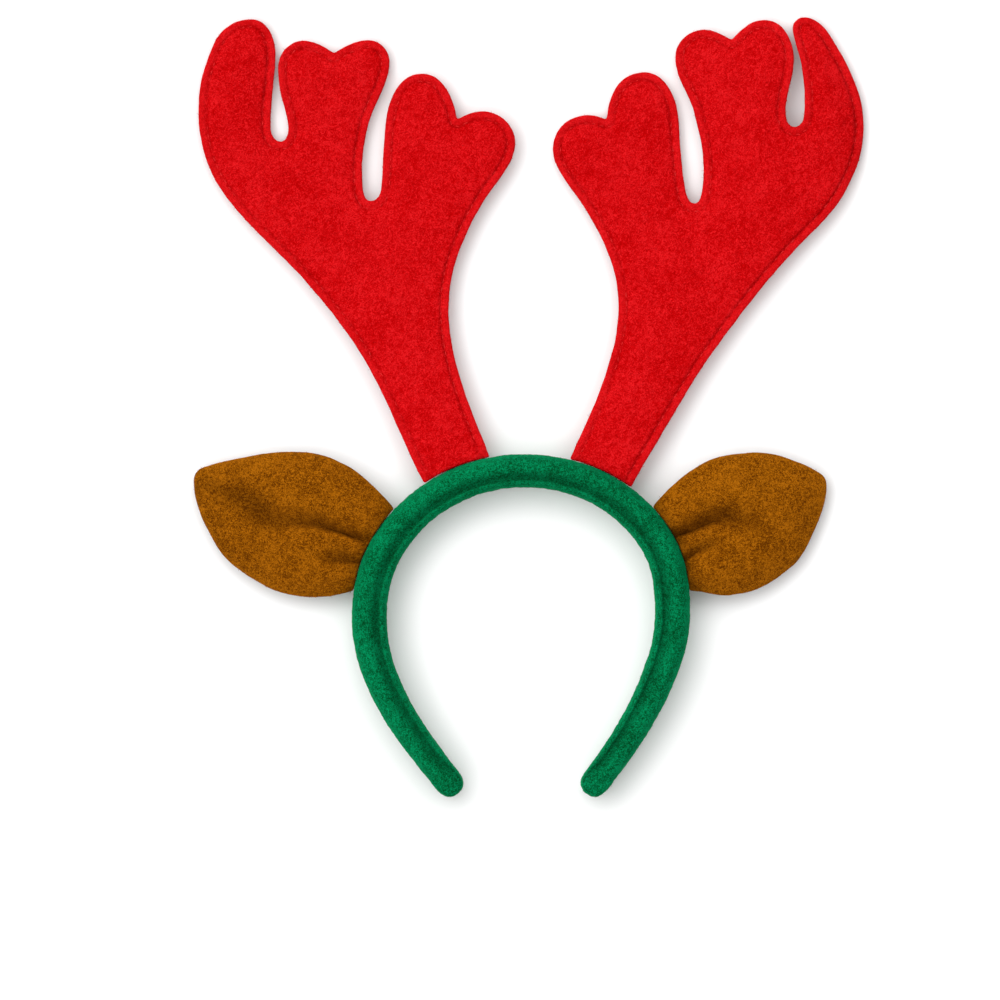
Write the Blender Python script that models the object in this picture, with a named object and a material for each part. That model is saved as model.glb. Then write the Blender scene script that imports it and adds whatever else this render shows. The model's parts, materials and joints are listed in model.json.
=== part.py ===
"""Reindeer antler headband: a felt covered band with two stuffed antlers and two folded ears.

It lies on its back, as it does on a table. +X is across the band, +Y runs from the band's open end
towards the antlers' tips, and +Z is up. Lengths are metres. Left is -X.
"""

import math

import bmesh
import bpy
import numpy as np
from mathutils import Vector
from mathutils.geometry import delaunay_2d_cdt

# Driving dimensions of the band
BAND_WIDTH = 0.150
BAND_HEIGHT = 0.020
BAND_HEIGHT_TIP = 0.0176
BAND_TAPER_REACH = 0.060
BAND_THICK_CROWN = 0.0145
BAND_THICK_SIDE = 0.0154
BAND_THICK_TIP = 0.0124
TIP_ROUND = 0.0070
TIP_BORDER = 0.0022
TIP_WRAP = 0.0120
WRAP_END = 0.0009
FACING_SHARE = 0.30
FLAT_UNDERSIDE = 0.0040

# The band's widest places as shares of half its length, and how its rounded ends are shaped
SIDE_SHARE = 0.5
TIP_SQUARENESS = 2.4
ROLL_END_HEIGHT = 0.55
FACING_END_HEIGHT = 0.86

# Driving dimensions of the antlers
ANTLER_SPAN = 0.200
ANTLER_RIM = 0.0012
ANTLER_CROWN = 0.0025
ANTLER_FLANGE = 0.0034
ANTLER_PUFF_REACH = 0.0080
ANTLER_TIP_HEIGHT = 0.0029
ANTLER_LIFT = 0.0046
ANTLER_ROLL = 0.0048
LEFT_ROOT_WIDTH = 0.0314
RIGHT_ROOT_WIDTH = 0.0297

# Shares of ANTLER_SPAN between which an antler leans down from the band to the table, and between
# which the roll of the outermost tine sets in
LEAN_START = -0.10
LEAN_END = 0.80
ROLL_START = 0.30
ROLL_FULL = 0.55
ROLL_MOST = 1.15

# Driving dimensions of the ears
EAR_SPAN = 0.089
EAR_RIM = 0.0020
EAR_THICK = 0.0030
EAR_PUFF = 0.0050
EAR_PUFF_REACH = 0.017
EAR_TIP_HEIGHT = 0.0048
EAR_ROOT_WIDTH = 0.0408
EAR_LEAN_END = 0.9
CREASE_RIM = 0.0068

# Where the antlers and ears are sewn to the band, in degrees clockwise of +Y from its middle
LEFT_SEAT = -24.4
RIGHT_SEAT = 29.2
EAR_SEAT = 66.7

# The gap between pieces that touch, and the spacing of the points
CLEARANCE = 0.0003
BAND_STEP = 0.0068
OUTLINE_STEP = 0.0080
OUTLINE_BEND = math.radians(16)
ANTLER_GRID = 0.0115
EAR_STEP = 0.0055
EAR_GRID = 0.0048

# Where an outline leaves the band and comes back to it, as headings in degrees anticlockwise of +X
LEFT_ANTLER_ENDS = (117, -68)
RIGHT_ANTLER_ENDS = (66, -118)
LEFT_EAR_ENDS = (-168, -48)
RIGHT_EAR_ENDS = (52, 178)

# The band's centre line, from its left tip over the crown to its right tip. The places are shares of
# BAND_WIDTH, measured from the middle of the head opening.
BAND_ROWS = (
    # name, across, up, heading
    ("tip_left", -0.189, -0.536, 129),
    ("arm_left", -0.414, -0.201, 112.5),
    ("widest_left", -0.453, -0.012, 90),
    ("shoulder_left", -0.398, 0.198, 59),
    ("crown", 0.008, 0.4215, 0),
    ("shoulder_right", 0.407, 0.200, -61),
    ("widest_right", 0.447, -0.006, -90),
    ("arm_right", 0.401, -0.201, -112.5),
    ("tip_right", 0.189, -0.535, -130),
)

# The roll's cross section: across from the seam (0) to the outside (1), up from the table (0) as a
# share of the band's height there.
ROLL_SECTION = (
    # name, across, up
    ("seam_top", 0.00, 0.955),
    ("top_inner", 0.14, 0.985),
    ("top", 0.38, 1.000),
    ("top_outer", 0.64, 0.965),
    ("shoulder", 0.86, 0.860),
    ("side_high", 0.98, 0.680),
    ("side", 1.00, 0.560),
    ("side_low", 1.00, 0.420),
    ("heel", 0.96, 0.240),
    ("foot_outer", 0.82, 0.080),
    ("seam_foot", 0.00, 0.045),
)

# The facing's cross section: across from the band's edge (0) to the seam (1).
FACING_SECTION = (
    # name, across, up
    ("seam_top", 1.00, 0.925),
    ("top", 0.50, 0.915),
    ("edge_top", 0.14, 0.850),
    ("edge_high", 0.00, 0.700),
    ("edge_low", 0.00, 0.270),
    ("edge_foot", 0.14, 0.110),
    ("foot", 0.50, 0.045),
    ("seam_foot", 1.00, 0.060),
)

# The antlers' outlines, clockwise from one root corner round the tines to the other. The places are shares of
# ANTLER_SPAN from the middle of the root, and the corners themselves lie on the band.
LEFT_ANTLER_ROWS = (
    # name, across, up, heading in, heading out
    ("stem_outer", -0.160, 0.158, 115, 115),
    ("palm_outer", -0.366, 0.447, 134, 134),
    ("shoulder", -0.525, 0.622, 123, 123),
    ("flank", -0.572, 0.798, 90, 90),
    ("tine1_side", -0.538, 0.940, 66, 66),
    ("tine1_top", -0.456, 0.9955, 0, 0),
    ("tine1_inner", -0.401, 0.924, -88, -88),
    ("slot1_outer", -0.412, 0.755, -88, -88),
    ("slot1_end", -0.390, 0.723, 0, 0),
    ("slot1_inner", -0.372, 0.753, 90, 90),
    ("tine2_waist", -0.388, 0.824, 104, 104),
    ("tine2_left", -0.395, 0.891, 88, 88),
    ("tine2_lobe_a", -0.338, 0.947, 0, 0),
    ("tine2_cleft", -0.271, 0.919, -38, 32),
    ("tine2_lobe_b", -0.196, 0.949, 0, 0),
    ("tine2_right", -0.148, 0.900, -90, -90),
    ("tine2_flank", -0.187, 0.784, -110, -110),
    ("slot2_outer", -0.207, 0.622, -86, -86),
    ("slot2_end", -0.189, 0.590, 0, 0),
    ("slot2_inner", -0.165, 0.622, 86, 86),
    ("tine3_side", -0.153, 0.778, 82, 82),
    ("tine3_lobe_a", -0.076, 0.874, 0, 0),
    ("tine3_cleft", 0.004, 0.773, -78, 32),
    ("tine3_lobe_b", 0.060, 0.790, 0, 0),
    ("tine3_right", 0.132, 0.720, -90, -90),
    ("palm_inner", 0.070, 0.602, -123, -123),
    ("throat", -0.016, 0.353, -90, -90),
    ("stem_inner", 0.008, 0.202, -73, -73),
)

RIGHT_ANTLER_ROWS = (
    # name, across, up, heading in, heading out
    ("stem_inner", 0.007, 0.207, 72, 72),
    ("throat", 0.038, 0.364, 90, 90),
    ("palm_inner", -0.053, 0.606, 125, 125),
    ("tine3_left", -0.108, 0.715, 90, 90),
    ("tine3_lobe_b", -0.032, 0.789, 0, 0),
    ("tine3_cleft", 0.011, 0.780, -20, 84),
    ("tine3_shoulder", 0.031, 0.849, 57, 57),
    ("tine3_lobe_a", 0.092, 0.885, 0, 0),
    ("tine3_side", 0.169, 0.793, -84, -84),
    ("slot2_inner", 0.1865, 0.620, -80, -80),
    ("slot2_end", 0.206, 0.592, 0, 0),
    ("slot2_outer", 0.2235, 0.622, 82, 82),
    ("tine2_flank", 0.203, 0.804, 108, 108),
    ("tine2_left", 0.164, 0.917, 90, 90),
    ("tine2_lobe_b", 0.228, 0.979, 0, 0),
    ("tine2_cleft", 0.289, 0.956, -28, 48),
    ("tine2_lobe_a", 0.361, 1.001, 0, 0),
    ("tine2_right", 0.427, 0.913, -90, -90),
    ("tine2_waist", 0.412, 0.829, -100, -100),
    ("slot1_inner", 0.4095, 0.785, -86, -86),
    ("slot1_end", 0.429, 0.762, 0, 0),
    ("slot1_outer", 0.449, 0.786, 84, 84),
    ("tine1_inner", 0.441, 0.917, 102, 102),
    ("tine1_round", 0.425, 0.982, 90, 90),
    ("tine1_top", 0.452, 1.007, 0, 0),
    ("tine1_side", 0.516, 0.953, -58, -58),
    ("flank", 0.583, 0.762, -90, -90),
    ("shoulder", 0.533, 0.606, -122, -122),
    ("palm_outer", 0.414, 0.473, -132, -132),
    ("palm_edge", 0.305, 0.341, -127, -127),
    ("stem_outer", 0.182, 0.162, -120, -120),
)

# Where an antler stands off the table: each swell is a round hump, its place and reach shares of
# ANTLER_SPAN and its height a share of ANTLER_LIFT.
LEFT_SWELLS = (
    # name, across, up, reach, lift
    ("tine3", 0.08, 0.68, 0.26, 0.75),
)
RIGHT_SWELLS = (
    ("tine1", 0.46, 0.80, 0.20, 1.00),
    ("palm", 0.36, 0.50, 0.18, 0.45),
)

# Where the right antler's outermost tine rolls down to the table: the middle and radius of the round
# line that it rolls over, and how far from the line it has dropped by ANTLER_ROLL.
RIGHT_ROLL = {"across": 0.196, "up": 0.702, "radius": 0.325, "reach": 0.075}

# The ears' outlines, clockwise from one root corner round the tip to the other, as shares of EAR_SPAN.
LEFT_EAR_ROWS = (
    # name, across, up, heading in, heading out
    ("lower_crest", -0.248, -0.253, 180, 180),
    ("lower_edge", -0.533, -0.183, 148, 148),
    ("lower_flank", -0.748, -0.003, 120, 120),
    ("tip", -0.865, 0.328, 90, 90),
    ("tip_above", -0.818, 0.392, 20, 20),
    ("upper_edge", -0.728, 0.418, 13, 13),
    ("upper_crest", -0.378, 0.470, 0, 0),
    ("upper_flank", -0.096, 0.397, -31, -31),
)
RIGHT_EAR_ROWS = (
    ("upper_flank", 0.088, 0.388, 33, 33),
    ("upper_crest", 0.373, 0.460, 0, 0),
    ("upper_edge", 0.613, 0.405, -24, -24),
    ("tip_above", 0.703, 0.358, -32, -32),
    ("tip", 0.735, 0.295, -90, -90),
    ("lower_flank", 0.638, -0.005, -115, -115),
    ("lower_edge", 0.453, -0.185, -147, -147),
    ("lower_crest", 0.223, -0.248, 180, 180),
)

# The ears' creases: places and reaches as shares of EAR_SPAN, depths as shares of EAR_PUFF.
LEFT_FOLDS = (
    # name, start across, start up, end across, end up, start depth, end depth, start reach, end reach
    ("tip_valley", -0.798, 0.328, -0.478, 0.128, 0.30, 0.75, 0.070, 0.085),
    ("main_outer", -0.478, 0.128, -0.248, 0.103, 0.75, 1.05, 0.085, 0.055),
    ("main_root", -0.248, 0.103, 0.020, 0.000, 1.05, 1.40, 0.055, 0.045),
    ("low_crease", -0.248, -0.043, -0.020, -0.090, 0.10, 0.70, 0.035, 0.035),
)
RIGHT_FOLDS = (
    ("main_faint", 0.388, 0.105, 0.258, 0.135, 0.20, 0.80, 0.085, 0.060),
    ("main_middle", 0.258, 0.135, 0.163, 0.113, 0.80, 1.15, 0.060, 0.045),
    ("main_root", 0.163, 0.113, -0.020, 0.035, 1.15, 1.45, 0.045, 0.045),
    ("second_crease", 0.195, 0.008, 0.030, -0.085, 0.20, 1.00, 0.035, 0.035),
)

RED_FELT = {"name": "red_felt", "color": (0.70, 0.012, 0.018), "roughness": 0.92}
GREEN_FELT = {"name": "green_felt", "color": (0.0, 0.16, 0.070), "roughness": 0.92}
BROWN_FELT = {"name": "brown_felt", "color": (0.26, 0.095, 0.004), "roughness": 0.92}


def clear_scene():
    """Removes the objects that the file opened with."""
    for old in list(bpy.data.objects):
        bpy.data.objects.remove(old, do_unlink=True)


def felt(look):
    """Returns a matt Principled material of the given colour."""
    material = bpy.data.materials.new(look["name"])
    material.use_nodes = True
    shader = material.node_tree.nodes["Principled BSDF"]
    shader.inputs["Base Color"].default_value = (*look["color"], 1.0)
    shader.inputs["Roughness"].default_value = look["roughness"]
    shader.inputs["Metallic"].default_value = 0.0
    return material


def smooth(share):
    """Eases a share from 0 to 1, and holds it there beyond either end."""
    share = min(max(share, 0.0), 1.0)
    return share * share * (3.0 - 2.0 * share)


def blend(start, end, share):
    """Returns the value at a share of the way from start to end."""
    return start + (end - start) * share


def heading(degrees):
    """Returns the unit vector of a heading."""
    return np.array((math.cos(math.radians(degrees)), math.sin(math.radians(degrees))))


def turn_between(first, second):
    """Returns the angle between two plan vectors, from 0 to pi."""
    cosine = float(np.dot(first, second)) / (np.linalg.norm(first) * np.linalg.norm(second))
    return math.acos(min(max(cosine, -1.0), 1.0))


def curve_through(rows, step, bend):
    """Returns points on the smooth curve through rows of (place, heading in, heading out).

    Each stretch is a cubic whose handles make an even turn a circular arc. Its points lie no more than
    a step apart, and it turns by no more than bend between them.
    """
    points = []
    for (start, _, leave), (end, arrive, _) in zip(rows, rows[1:]):
        chord = end - start
        length = float(np.linalg.norm(chord))
        turn = turn_between(heading(leave), chord) + turn_between(chord, heading(arrive))
        half = max(min(turn, math.pi), 0.001) / 2.0
        handle = length * (4.0 / 3.0) * math.tan(half / 2.0) / (2.0 * math.sin(half))
        near = start + handle * heading(leave)
        far = end - handle * heading(arrive)
        count = max(1, math.ceil(length / step), math.ceil(turn / bend))
        for share in np.arange(count) / count:
            rest = 1.0 - share
            points.append(rest**3 * start + 3 * rest**2 * share * near
                          + 3 * rest * share**2 * far + share**3 * end)
    points.append(rows[-1][0])
    return np.array(points)


def resample(points, distances):
    """Returns the places on a polyline at the given distances along it, and its normals there.

    A normal points to the left of the line's own direction.
    """
    lengths = np.concatenate(([0.0], np.cumsum(np.linalg.norm(np.diff(points, axis=0), axis=1))))
    tangents = np.gradient(points, lengths, axis=0)
    place = np.stack([np.interp(distances, lengths, points[:, axis]) for axis in (0, 1)], axis=1)
    along = np.stack([np.interp(distances, lengths, tangents[:, axis]) for axis in (0, 1)], axis=1)
    along /= np.linalg.norm(along, axis=1)[:, None]
    return place, np.stack((-along[:, 1], along[:, 0]), axis=1)


class Band:
    """The band's plan: its centre line, its thickness along it, and its outer edge."""

    def __init__(self):
        rows = [(np.array((across, up)) * BAND_WIDTH, angle, angle)
                for _, across, up, angle in BAND_ROWS]
        self.line = curve_through(rows, BAND_STEP / 6.0, OUTLINE_BEND / 8.0)
        steps = np.linalg.norm(np.diff(self.line, axis=0), axis=1)
        self.length = float(steps.sum())
        self.wrap_end = TIP_WRAP + CLEARANCE
        near = [TIP_ROUND, (TIP_ROUND + TIP_WRAP) / 2.0, self.wrap_end, self.wrap_end + TIP_BORDER]
        count = round((self.length - 2.0 * near[-1]) / BAND_STEP)
        between = np.linspace(near[-1], self.length - near[-1], count + 1)[1:-1]
        self.stations = near + list(between) + [self.length - station for station in reversed(near)]
        place, normal = resample(self.line, self.stations)
        reach = np.array([self.thickness(station) / 2.0 + CLEARANCE for station in self.stations])
        self.edge = place + normal * reach[:, None]
        self.edge_angles = np.degrees(np.arctan2(self.edge[:, 0], self.edge[:, 1]))

    def from_tip(self, station):
        """Returns the distance from the nearer tip."""
        return min(station, self.length - station)

    def thickness(self, station):
        """Returns the band's thickness in plan, at a distance along it."""
        share = self.from_tip(station) / (self.length / 2.0)
        if share < SIDE_SHARE:
            return blend(BAND_THICK_TIP, BAND_THICK_SIDE, smooth(share / SIDE_SHARE))
        past = (share - SIDE_SHARE) / (1.0 - SIDE_SHARE)
        return blend(BAND_THICK_SIDE, BAND_THICK_CROWN, smooth(past))

    def height(self, station):
        """Returns the band's height, a little less towards the tips."""
        share = self.from_tip(station) / BAND_TAPER_REACH
        return blend(BAND_HEIGHT_TIP, BAND_HEIGHT, smooth(share))

    def facing(self, station):
        """Returns the facing's thickness in plan on the inner side."""
        full = FACING_SHARE * self.thickness(station) - CLEARANCE / 2.0
        past_tip = self.from_tip(station) - TIP_ROUND
        return blend(TIP_BORDER, full, smooth(past_tip / TIP_WRAP))

    def wrap(self, station):
        """Returns the facing's thickness in plan where it turns back on the outer side."""
        share = (self.from_tip(station) - TIP_BORDER) / (TIP_WRAP - TIP_BORDER)
        return blend(TIP_BORDER, WRAP_END, min(max(share, 0.0), 1.0))

    def edge_at(self, degrees):
        """Returns the place on the outer edge, a clearance out, that many degrees clockwise of +Y."""
        return np.array([np.interp(degrees, self.edge_angles, self.edge[:, axis]) for axis in (0, 1)])


def add_piece(name, vertices, faces, look):
    """Makes one closed, smooth shaded piece and links it to the scene."""
    mesh = bpy.data.meshes.new(name)
    build = bmesh.new()
    corners = [build.verts.new(Vector(vertex)) for vertex in vertices]
    for face in faces:
        build.faces.new([corners[index] for index in face])
    bmesh.ops.recalc_face_normals(build, faces=build.faces)
    bmesh.ops.triangulate(build, faces=[face for face in build.faces if len(face.verts) > 3])
    build.to_mesh(mesh)
    build.free()
    mesh.shade_smooth()
    mesh.set_sharp_from_angle(angle=math.radians(50))
    piece = bpy.data.objects.new(name, mesh)
    mesh.materials.append(felt(look))
    bpy.context.collection.objects.link(piece)
    return piece


def loft(name, rings, look):
    """Makes a solid from rings of equally many points, closed at both ends."""
    size = len(rings[0])
    vertices = [point for ring in rings for point in ring]
    faces = []
    for row in range(len(rings) - 1):
        for column in range(size):
            after = (column + 1) % size
            faces.append((row * size + column, row * size + after,
                          (row + 1) * size + after, (row + 1) * size + column))
    faces.append(tuple(range(size)))
    faces.append(tuple(range((len(rings) - 1) * size, len(rings) * size)))
    return add_piece(name, vertices, faces, look)


def section_ring(section, start, end, height, squash):
    """Places a cross section from its plan start to its plan end, at a height and a tip's squash."""
    middle = height / 2.0
    ring = []
    for _, across, up in section:
        place = blend(start, end, across)
        ring.append((place[0], place[1], middle + (up * height - middle) * squash))
    return ring


def roll_section():
    """Returns the roll's section with its flat foot, a share of the crown's own roll wide."""
    foot = FLAT_UNDERSIDE / (BAND_THICK_CROWN * (1.0 - FACING_SHARE))
    start = (1.0 - foot) / 2.0
    rows = list(ROLL_SECTION)
    rows[-1:-1] = [("foot_flat_outer", start + foot, 0.0), ("foot_flat_inner", start, 0.0)]
    return rows


def add_band_outer(band):
    """Makes the padded roll, rounded at both ends inside the facing that wraps them."""
    start = TIP_BORDER + 2.0 * CLEARANCE
    round_end = TIP_ROUND - start
    tips = [(start + round_end * (1.0 - math.cos(angle)), math.sin(angle))
            for angle in np.radians((16, 32, 50, 70))]
    stations = tips + [(station, 1.0) for station in band.stations]
    stations += [(band.length - station, full) for station, full in reversed(tips)]
    places, normals = resample(band.line, [station for station, _ in stations])
    section = roll_section()
    rings = []
    for (station, full), place, normal in zip(stations, places, normals):
        half = band.thickness(station) / 2.0
        past_wrap = (band.from_tip(station) - band.wrap_end) / TIP_BORDER
        recess = blend(band.wrap(station) + CLEARANCE, 0.0, smooth(past_wrap))
        inner = -half + band.facing(station) + CLEARANCE
        outer = half - recess
        centre = (inner + outer) / 2.0
        reach = (outer - inner) / 2.0 * full
        squash = blend(ROLL_END_HEIGHT, 1.0, full)
        rings.append(section_ring(section, place + normal * (centre - reach),
                                  place + normal * (centre + reach), band.height(station), squash))
    return loft("band_outer", rings, GREEN_FELT)


def facing_line(band):
    """Returns the plan line that the facing follows, as (station, side, place) from end to end.

    It starts on the left tip's outer side, turns round the tip, follows the band's inner edge and
    turns round the right tip. Side is 1 on the outer edge and -1 on the inner one.
    """
    power = 2.0 / TIP_SQUARENESS
    turned = [(TIP_ROUND * (1.0 - math.sin(angle) ** power), math.cos(angle) ** power)
              for angle in np.radians((90, 68, 46, 24))]
    outer = [(station, 1.0) for station in np.linspace(TIP_WRAP, TIP_ROUND, 3)]
    round_out = [(station, side) for station, side in reversed(turned)]
    round_in = [(station, -side) for station, side in turned[1:]]
    left_end = outer + round_out + round_in
    right_end = [(band.length - station, side) for station, side in reversed(left_end)]
    return left_end + [(station, -1.0) for station in band.stations] + right_end


def add_band_inner(band):
    """Makes the facing inside the band, which wraps round both tips and thins out behind them."""
    route = facing_line(band)
    places, normals = resample(band.line, [station for station, _ in route])
    halves = np.array([band.thickness(station) / 2.0 * side for station, side in route])
    line = places + normals * halves[:, None]
    along = np.gradient(line, axis=0)
    along /= np.linalg.norm(along, axis=1)[:, None]
    inward = np.stack((-along[:, 1], along[:, 0]), axis=1)
    rings = []
    for (station, side), place, normal in zip(route, line, inward):
        tip_share = band.from_tip(station) / TIP_ROUND
        width = band.facing(station) if side < 0 else band.wrap(station)
        squash = blend(FACING_END_HEIGHT, 1.0, smooth(tip_share))
        rings.append(section_ring(FACING_SECTION, place, place + normal * width,
                                  band.height(station), squash))
    return loft("band_inner", rings, GREEN_FELT)


class Plan:
    """The plan of a felt shape that is sewn to the band along its root.

    seat is the root's middle, as degrees clockwise of +Y, and ends are the outline's headings where it
    leaves the band and where it comes back.
    """

    def __init__(self, band, seat, root_width, span, rows, ends, step):
        self.span = span
        self.seat = band.edge_at(seat)
        half = math.degrees(math.asin(root_width / 2.0 / float(np.linalg.norm(self.seat))))
        places = [(band.edge_at(seat - half), ends[0], ends[0])]
        places += [(self.seat + np.array((across, up)) * span, arrive, leave)
                   for _, across, up, arrive, leave in rows]
        places.append((band.edge_at(seat + half), ends[1], ends[1]))
        self.free = curve_through(places, step, OUTLINE_BEND)
        count = max(2, round(root_width / step))
        root = [band.edge_at(seat + half - 2.0 * half * share / count) for share in range(1, count)]
        self.outline = np.array(list(self.free) + root)

    def shares(self, point):
        """Returns a plan point as shares of the span from the seat."""
        return (np.asarray(point) - self.seat) / self.span

    def place(self, across, up):
        """Returns the plan point at the given shares of the span from the seat."""
        return self.seat + np.array((across, up)) * self.span

    def inset(self, distance):
        """Returns points a distance inside the outline, where it is wide enough to hold them."""
        before = np.roll(self.outline, 1, axis=0)
        after = np.roll(self.outline, -1, axis=0)
        along = after - before
        along /= np.linalg.norm(along, axis=1)[:, None]
        moved = self.outline + np.stack((along[:, 1], -along[:, 0]), axis=1) * distance
        kept = []
        for point in moved:
            clear = distance_to(point, self.outline, True) > 0.97 * distance
            apart = not kept or np.linalg.norm(point - kept[-1]) > 0.45 * distance
            if clear and apart and inside(point, self.outline):
                kept.append(point)
        return kept

    def grid(self, spacing, margin):
        """Returns a staggered grid of points that lie at least a margin inside the outline."""
        low, high = self.outline.min(axis=0), self.outline.max(axis=0)
        rise = spacing * math.sqrt(3.0) / 2.0
        kept = []
        for row in range(math.ceil((high[1] - low[1]) / rise)):
            for column in range(math.ceil((high[0] - low[0]) / spacing) + 1):
                point = low + np.array(((column - 0.5 * (row % 2)) * spacing, (row + 0.5) * rise))
                if inside(point, self.outline) and distance_to(point, self.outline, True) > margin:
                    kept.append(point)
        return kept


def distance_to(point, line, closed):
    """Returns the distance from a plan point to a polyline."""
    starts = line if closed else line[:-1]
    ends = np.roll(line, -1, axis=0) if closed else line[1:]
    along = ends - starts
    share = np.sum((point - starts) * along, axis=1) / np.sum(along * along, axis=1)
    nearest = starts + np.clip(share, 0.0, 1.0)[:, None] * along
    return float(np.linalg.norm(point - nearest, axis=1).min())


def inside(point, outline):
    """Tells whether a plan point lies inside a closed outline."""
    x, y = outline[:, 0], outline[:, 1]
    next_x, next_y = np.roll(x, -1), np.roll(y, -1)
    spans = (y > point[1]) != (next_y > point[1])
    rise = np.where(next_y == y, 1.0, next_y - y)
    crossing = x + (point[1] - y) * (next_x - x) / rise
    return bool(np.count_nonzero(spans & (point[0] < crossing)) % 2)


def add_felt(name, plan, inner_points, low, high, look):
    """Makes a felt solid over a plan, between the heights that low and high give at a point."""
    points = list(plan.outline) + list(inner_points)
    rim = len(plan.outline)
    flat = [Vector((float(x), float(y))) for x, y in points]
    found = delaunay_2d_cdt(flat, [], [list(range(rim))], 1, 1e-7)
    plan_points = [np.array((vertex.x, vertex.y)) for vertex in found[0]]
    size = len(plan_points)
    under = [(point[0], point[1], low(point)) for point in plan_points]
    over = [(point[0], point[1], high(point)) for point in plan_points]
    faces = [tuple(reversed(face)) for face in found[2]]
    faces += [tuple(index + size for index in face) for face in found[2]]
    edges = [(face[i], face[(i + 1) % len(face)]) for face in found[2] for i in range(len(face))]
    shared = set(edges)
    for first, second in edges:
        if (second, first) not in shared:
            faces.append((first, second, second + size, first + size))
    return add_piece(name, under + over, faces, look)


class Antler:
    """One stuffed antler: two felt panels, stitched together inside their rim."""

    def __init__(self, band, side, seat, root_width, rows, ends, swells, roll):
        self.side = side
        self.plan = Plan(band, seat, root_width, ANTLER_SPAN, rows, ends, OUTLINE_STEP)
        self.swells = swells
        self.roll = roll

    def middle(self, point):
        """Returns the height of the surface between the panels."""
        across, up = self.plan.shares(point)
        lean = smooth((up - LEAN_START) / (LEAN_END - LEAN_START))
        height = blend(BAND_HEIGHT / 2.0, ANTLER_TIP_HEIGHT, lean)
        for _, swell_across, swell_up, reach, lift in self.swells:
            away = math.hypot(across - swell_across, up - swell_up) / reach
            height += ANTLER_LIFT * lift * math.exp(-away * away)
        if self.roll:
            from_middle = math.hypot(across - self.roll["across"], up - self.roll["up"])
            past = max(from_middle - self.roll["radius"], 0.0) / self.roll["reach"]
            set_in = smooth((up - ROLL_START) / (ROLL_FULL - ROLL_START))
            height -= ANTLER_ROLL * min(past, ROLL_MOST) ** 2 * set_in
        return max(height, ANTLER_TIP_HEIGHT)

    def panel(self, point):
        """Returns a panel's thickness, thin at the rim and puffed inside the stitches."""
        past = distance_to(point, self.plan.free, False) - ANTLER_FLANGE
        return blend(ANTLER_RIM, ANTLER_CROWN, smooth(past / (ANTLER_PUFF_REACH - ANTLER_FLANGE)))

    def build(self):
        """Adds the front and the back panel."""
        inner_points = self.plan.inset(ANTLER_FLANGE) + self.plan.inset(ANTLER_PUFF_REACH)
        inner_points += self.plan.grid(ANTLER_GRID, ANTLER_PUFF_REACH + ANTLER_GRID * 0.4)
        half_gap = CLEARANCE / 2.0
        add_felt(f"antler_{self.side}_front", self.plan, inner_points,
                 lambda point: self.middle(point) + half_gap,
                 lambda point: self.middle(point) + half_gap + self.panel(point), RED_FELT)
        add_felt(f"antler_{self.side}_back", self.plan, inner_points,
                 lambda point: self.middle(point) - half_gap - self.panel(point),
                 lambda point: self.middle(point) - half_gap, RED_FELT)


class Ear:
    """One ear: a thick piece of felt, domed from its root to its tip and creased along its folds."""

    def __init__(self, band, side, seat, root_width, rows, ends, folds):
        self.side = side
        self.plan = Plan(band, seat, root_width, EAR_SPAN, rows, ends, EAR_STEP)
        self.folds = folds

    def crease(self, point):
        """Returns how deep the folds press the felt down at a plan point."""
        deepest = 0.0
        for _, across, up, end_across, end_up, depth, end_depth, reach, end_reach in self.folds:
            start, end = self.plan.place(across, up), self.plan.place(end_across, end_up)
            along = end - start
            share = float(np.dot(point - start, along) / np.dot(along, along))
            share = min(max(share, 0.0), 1.0)
            away = float(np.linalg.norm(point - blend(start, end, share)))
            away /= blend(reach, end_reach, share) * EAR_SPAN
            deepest = max(deepest, blend(depth, end_depth, share) * math.exp(-away * away))
        return deepest * EAR_PUFF

    def middle(self, point):
        """Returns the height of the felt's middle surface."""
        away = float(np.linalg.norm(point - self.plan.seat)) / EAR_SPAN
        edge = blend(BAND_HEIGHT / 2.0, EAR_TIP_HEIGHT, smooth(away / EAR_LEAN_END))
        reach = distance_to(point, self.plan.free, False)
        dome = EAR_PUFF * (1.0 - (1.0 - min(reach / EAR_PUFF_REACH, 1.0)) ** 2)
        return edge + dome - self.crease(point) * smooth(reach / CREASE_RIM)

    def thickness(self, point):
        """Returns the felt's thickness, less at the rolled rim."""
        reach = distance_to(point, self.plan.free, False) / EAR_THICK
        return blend(EAR_RIM, EAR_THICK, smooth(reach))

    def build(self):
        """Adds the ear."""
        inner_points = self.plan.inset(EAR_THICK) + self.plan.grid(EAR_GRID, EAR_THICK + EAR_GRID * 0.4)
        add_felt(f"ear_{self.side}", self.plan, inner_points,
                 lambda point: self.middle(point) - self.thickness(point) / 2.0,
                 lambda point: self.middle(point) + self.thickness(point) / 2.0, BROWN_FELT)


def rest_on_origin():
    """Moves all pieces so that the origin is under the middle of the whole headband."""
    pieces = [item for item in bpy.context.scene.objects if item.type == "MESH"]
    corners = np.array([vertex.co for piece in pieces for vertex in piece.data.vertices])
    low, high = corners.min(axis=0), corners.max(axis=0)
    holder = bpy.data.objects.new("headband", None)
    bpy.context.collection.objects.link(holder)
    holder.location = (-(low[0] + high[0]) / 2.0, -(low[1] + high[1]) / 2.0, -low[2])
    for piece in pieces:
        piece.parent = holder


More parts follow.
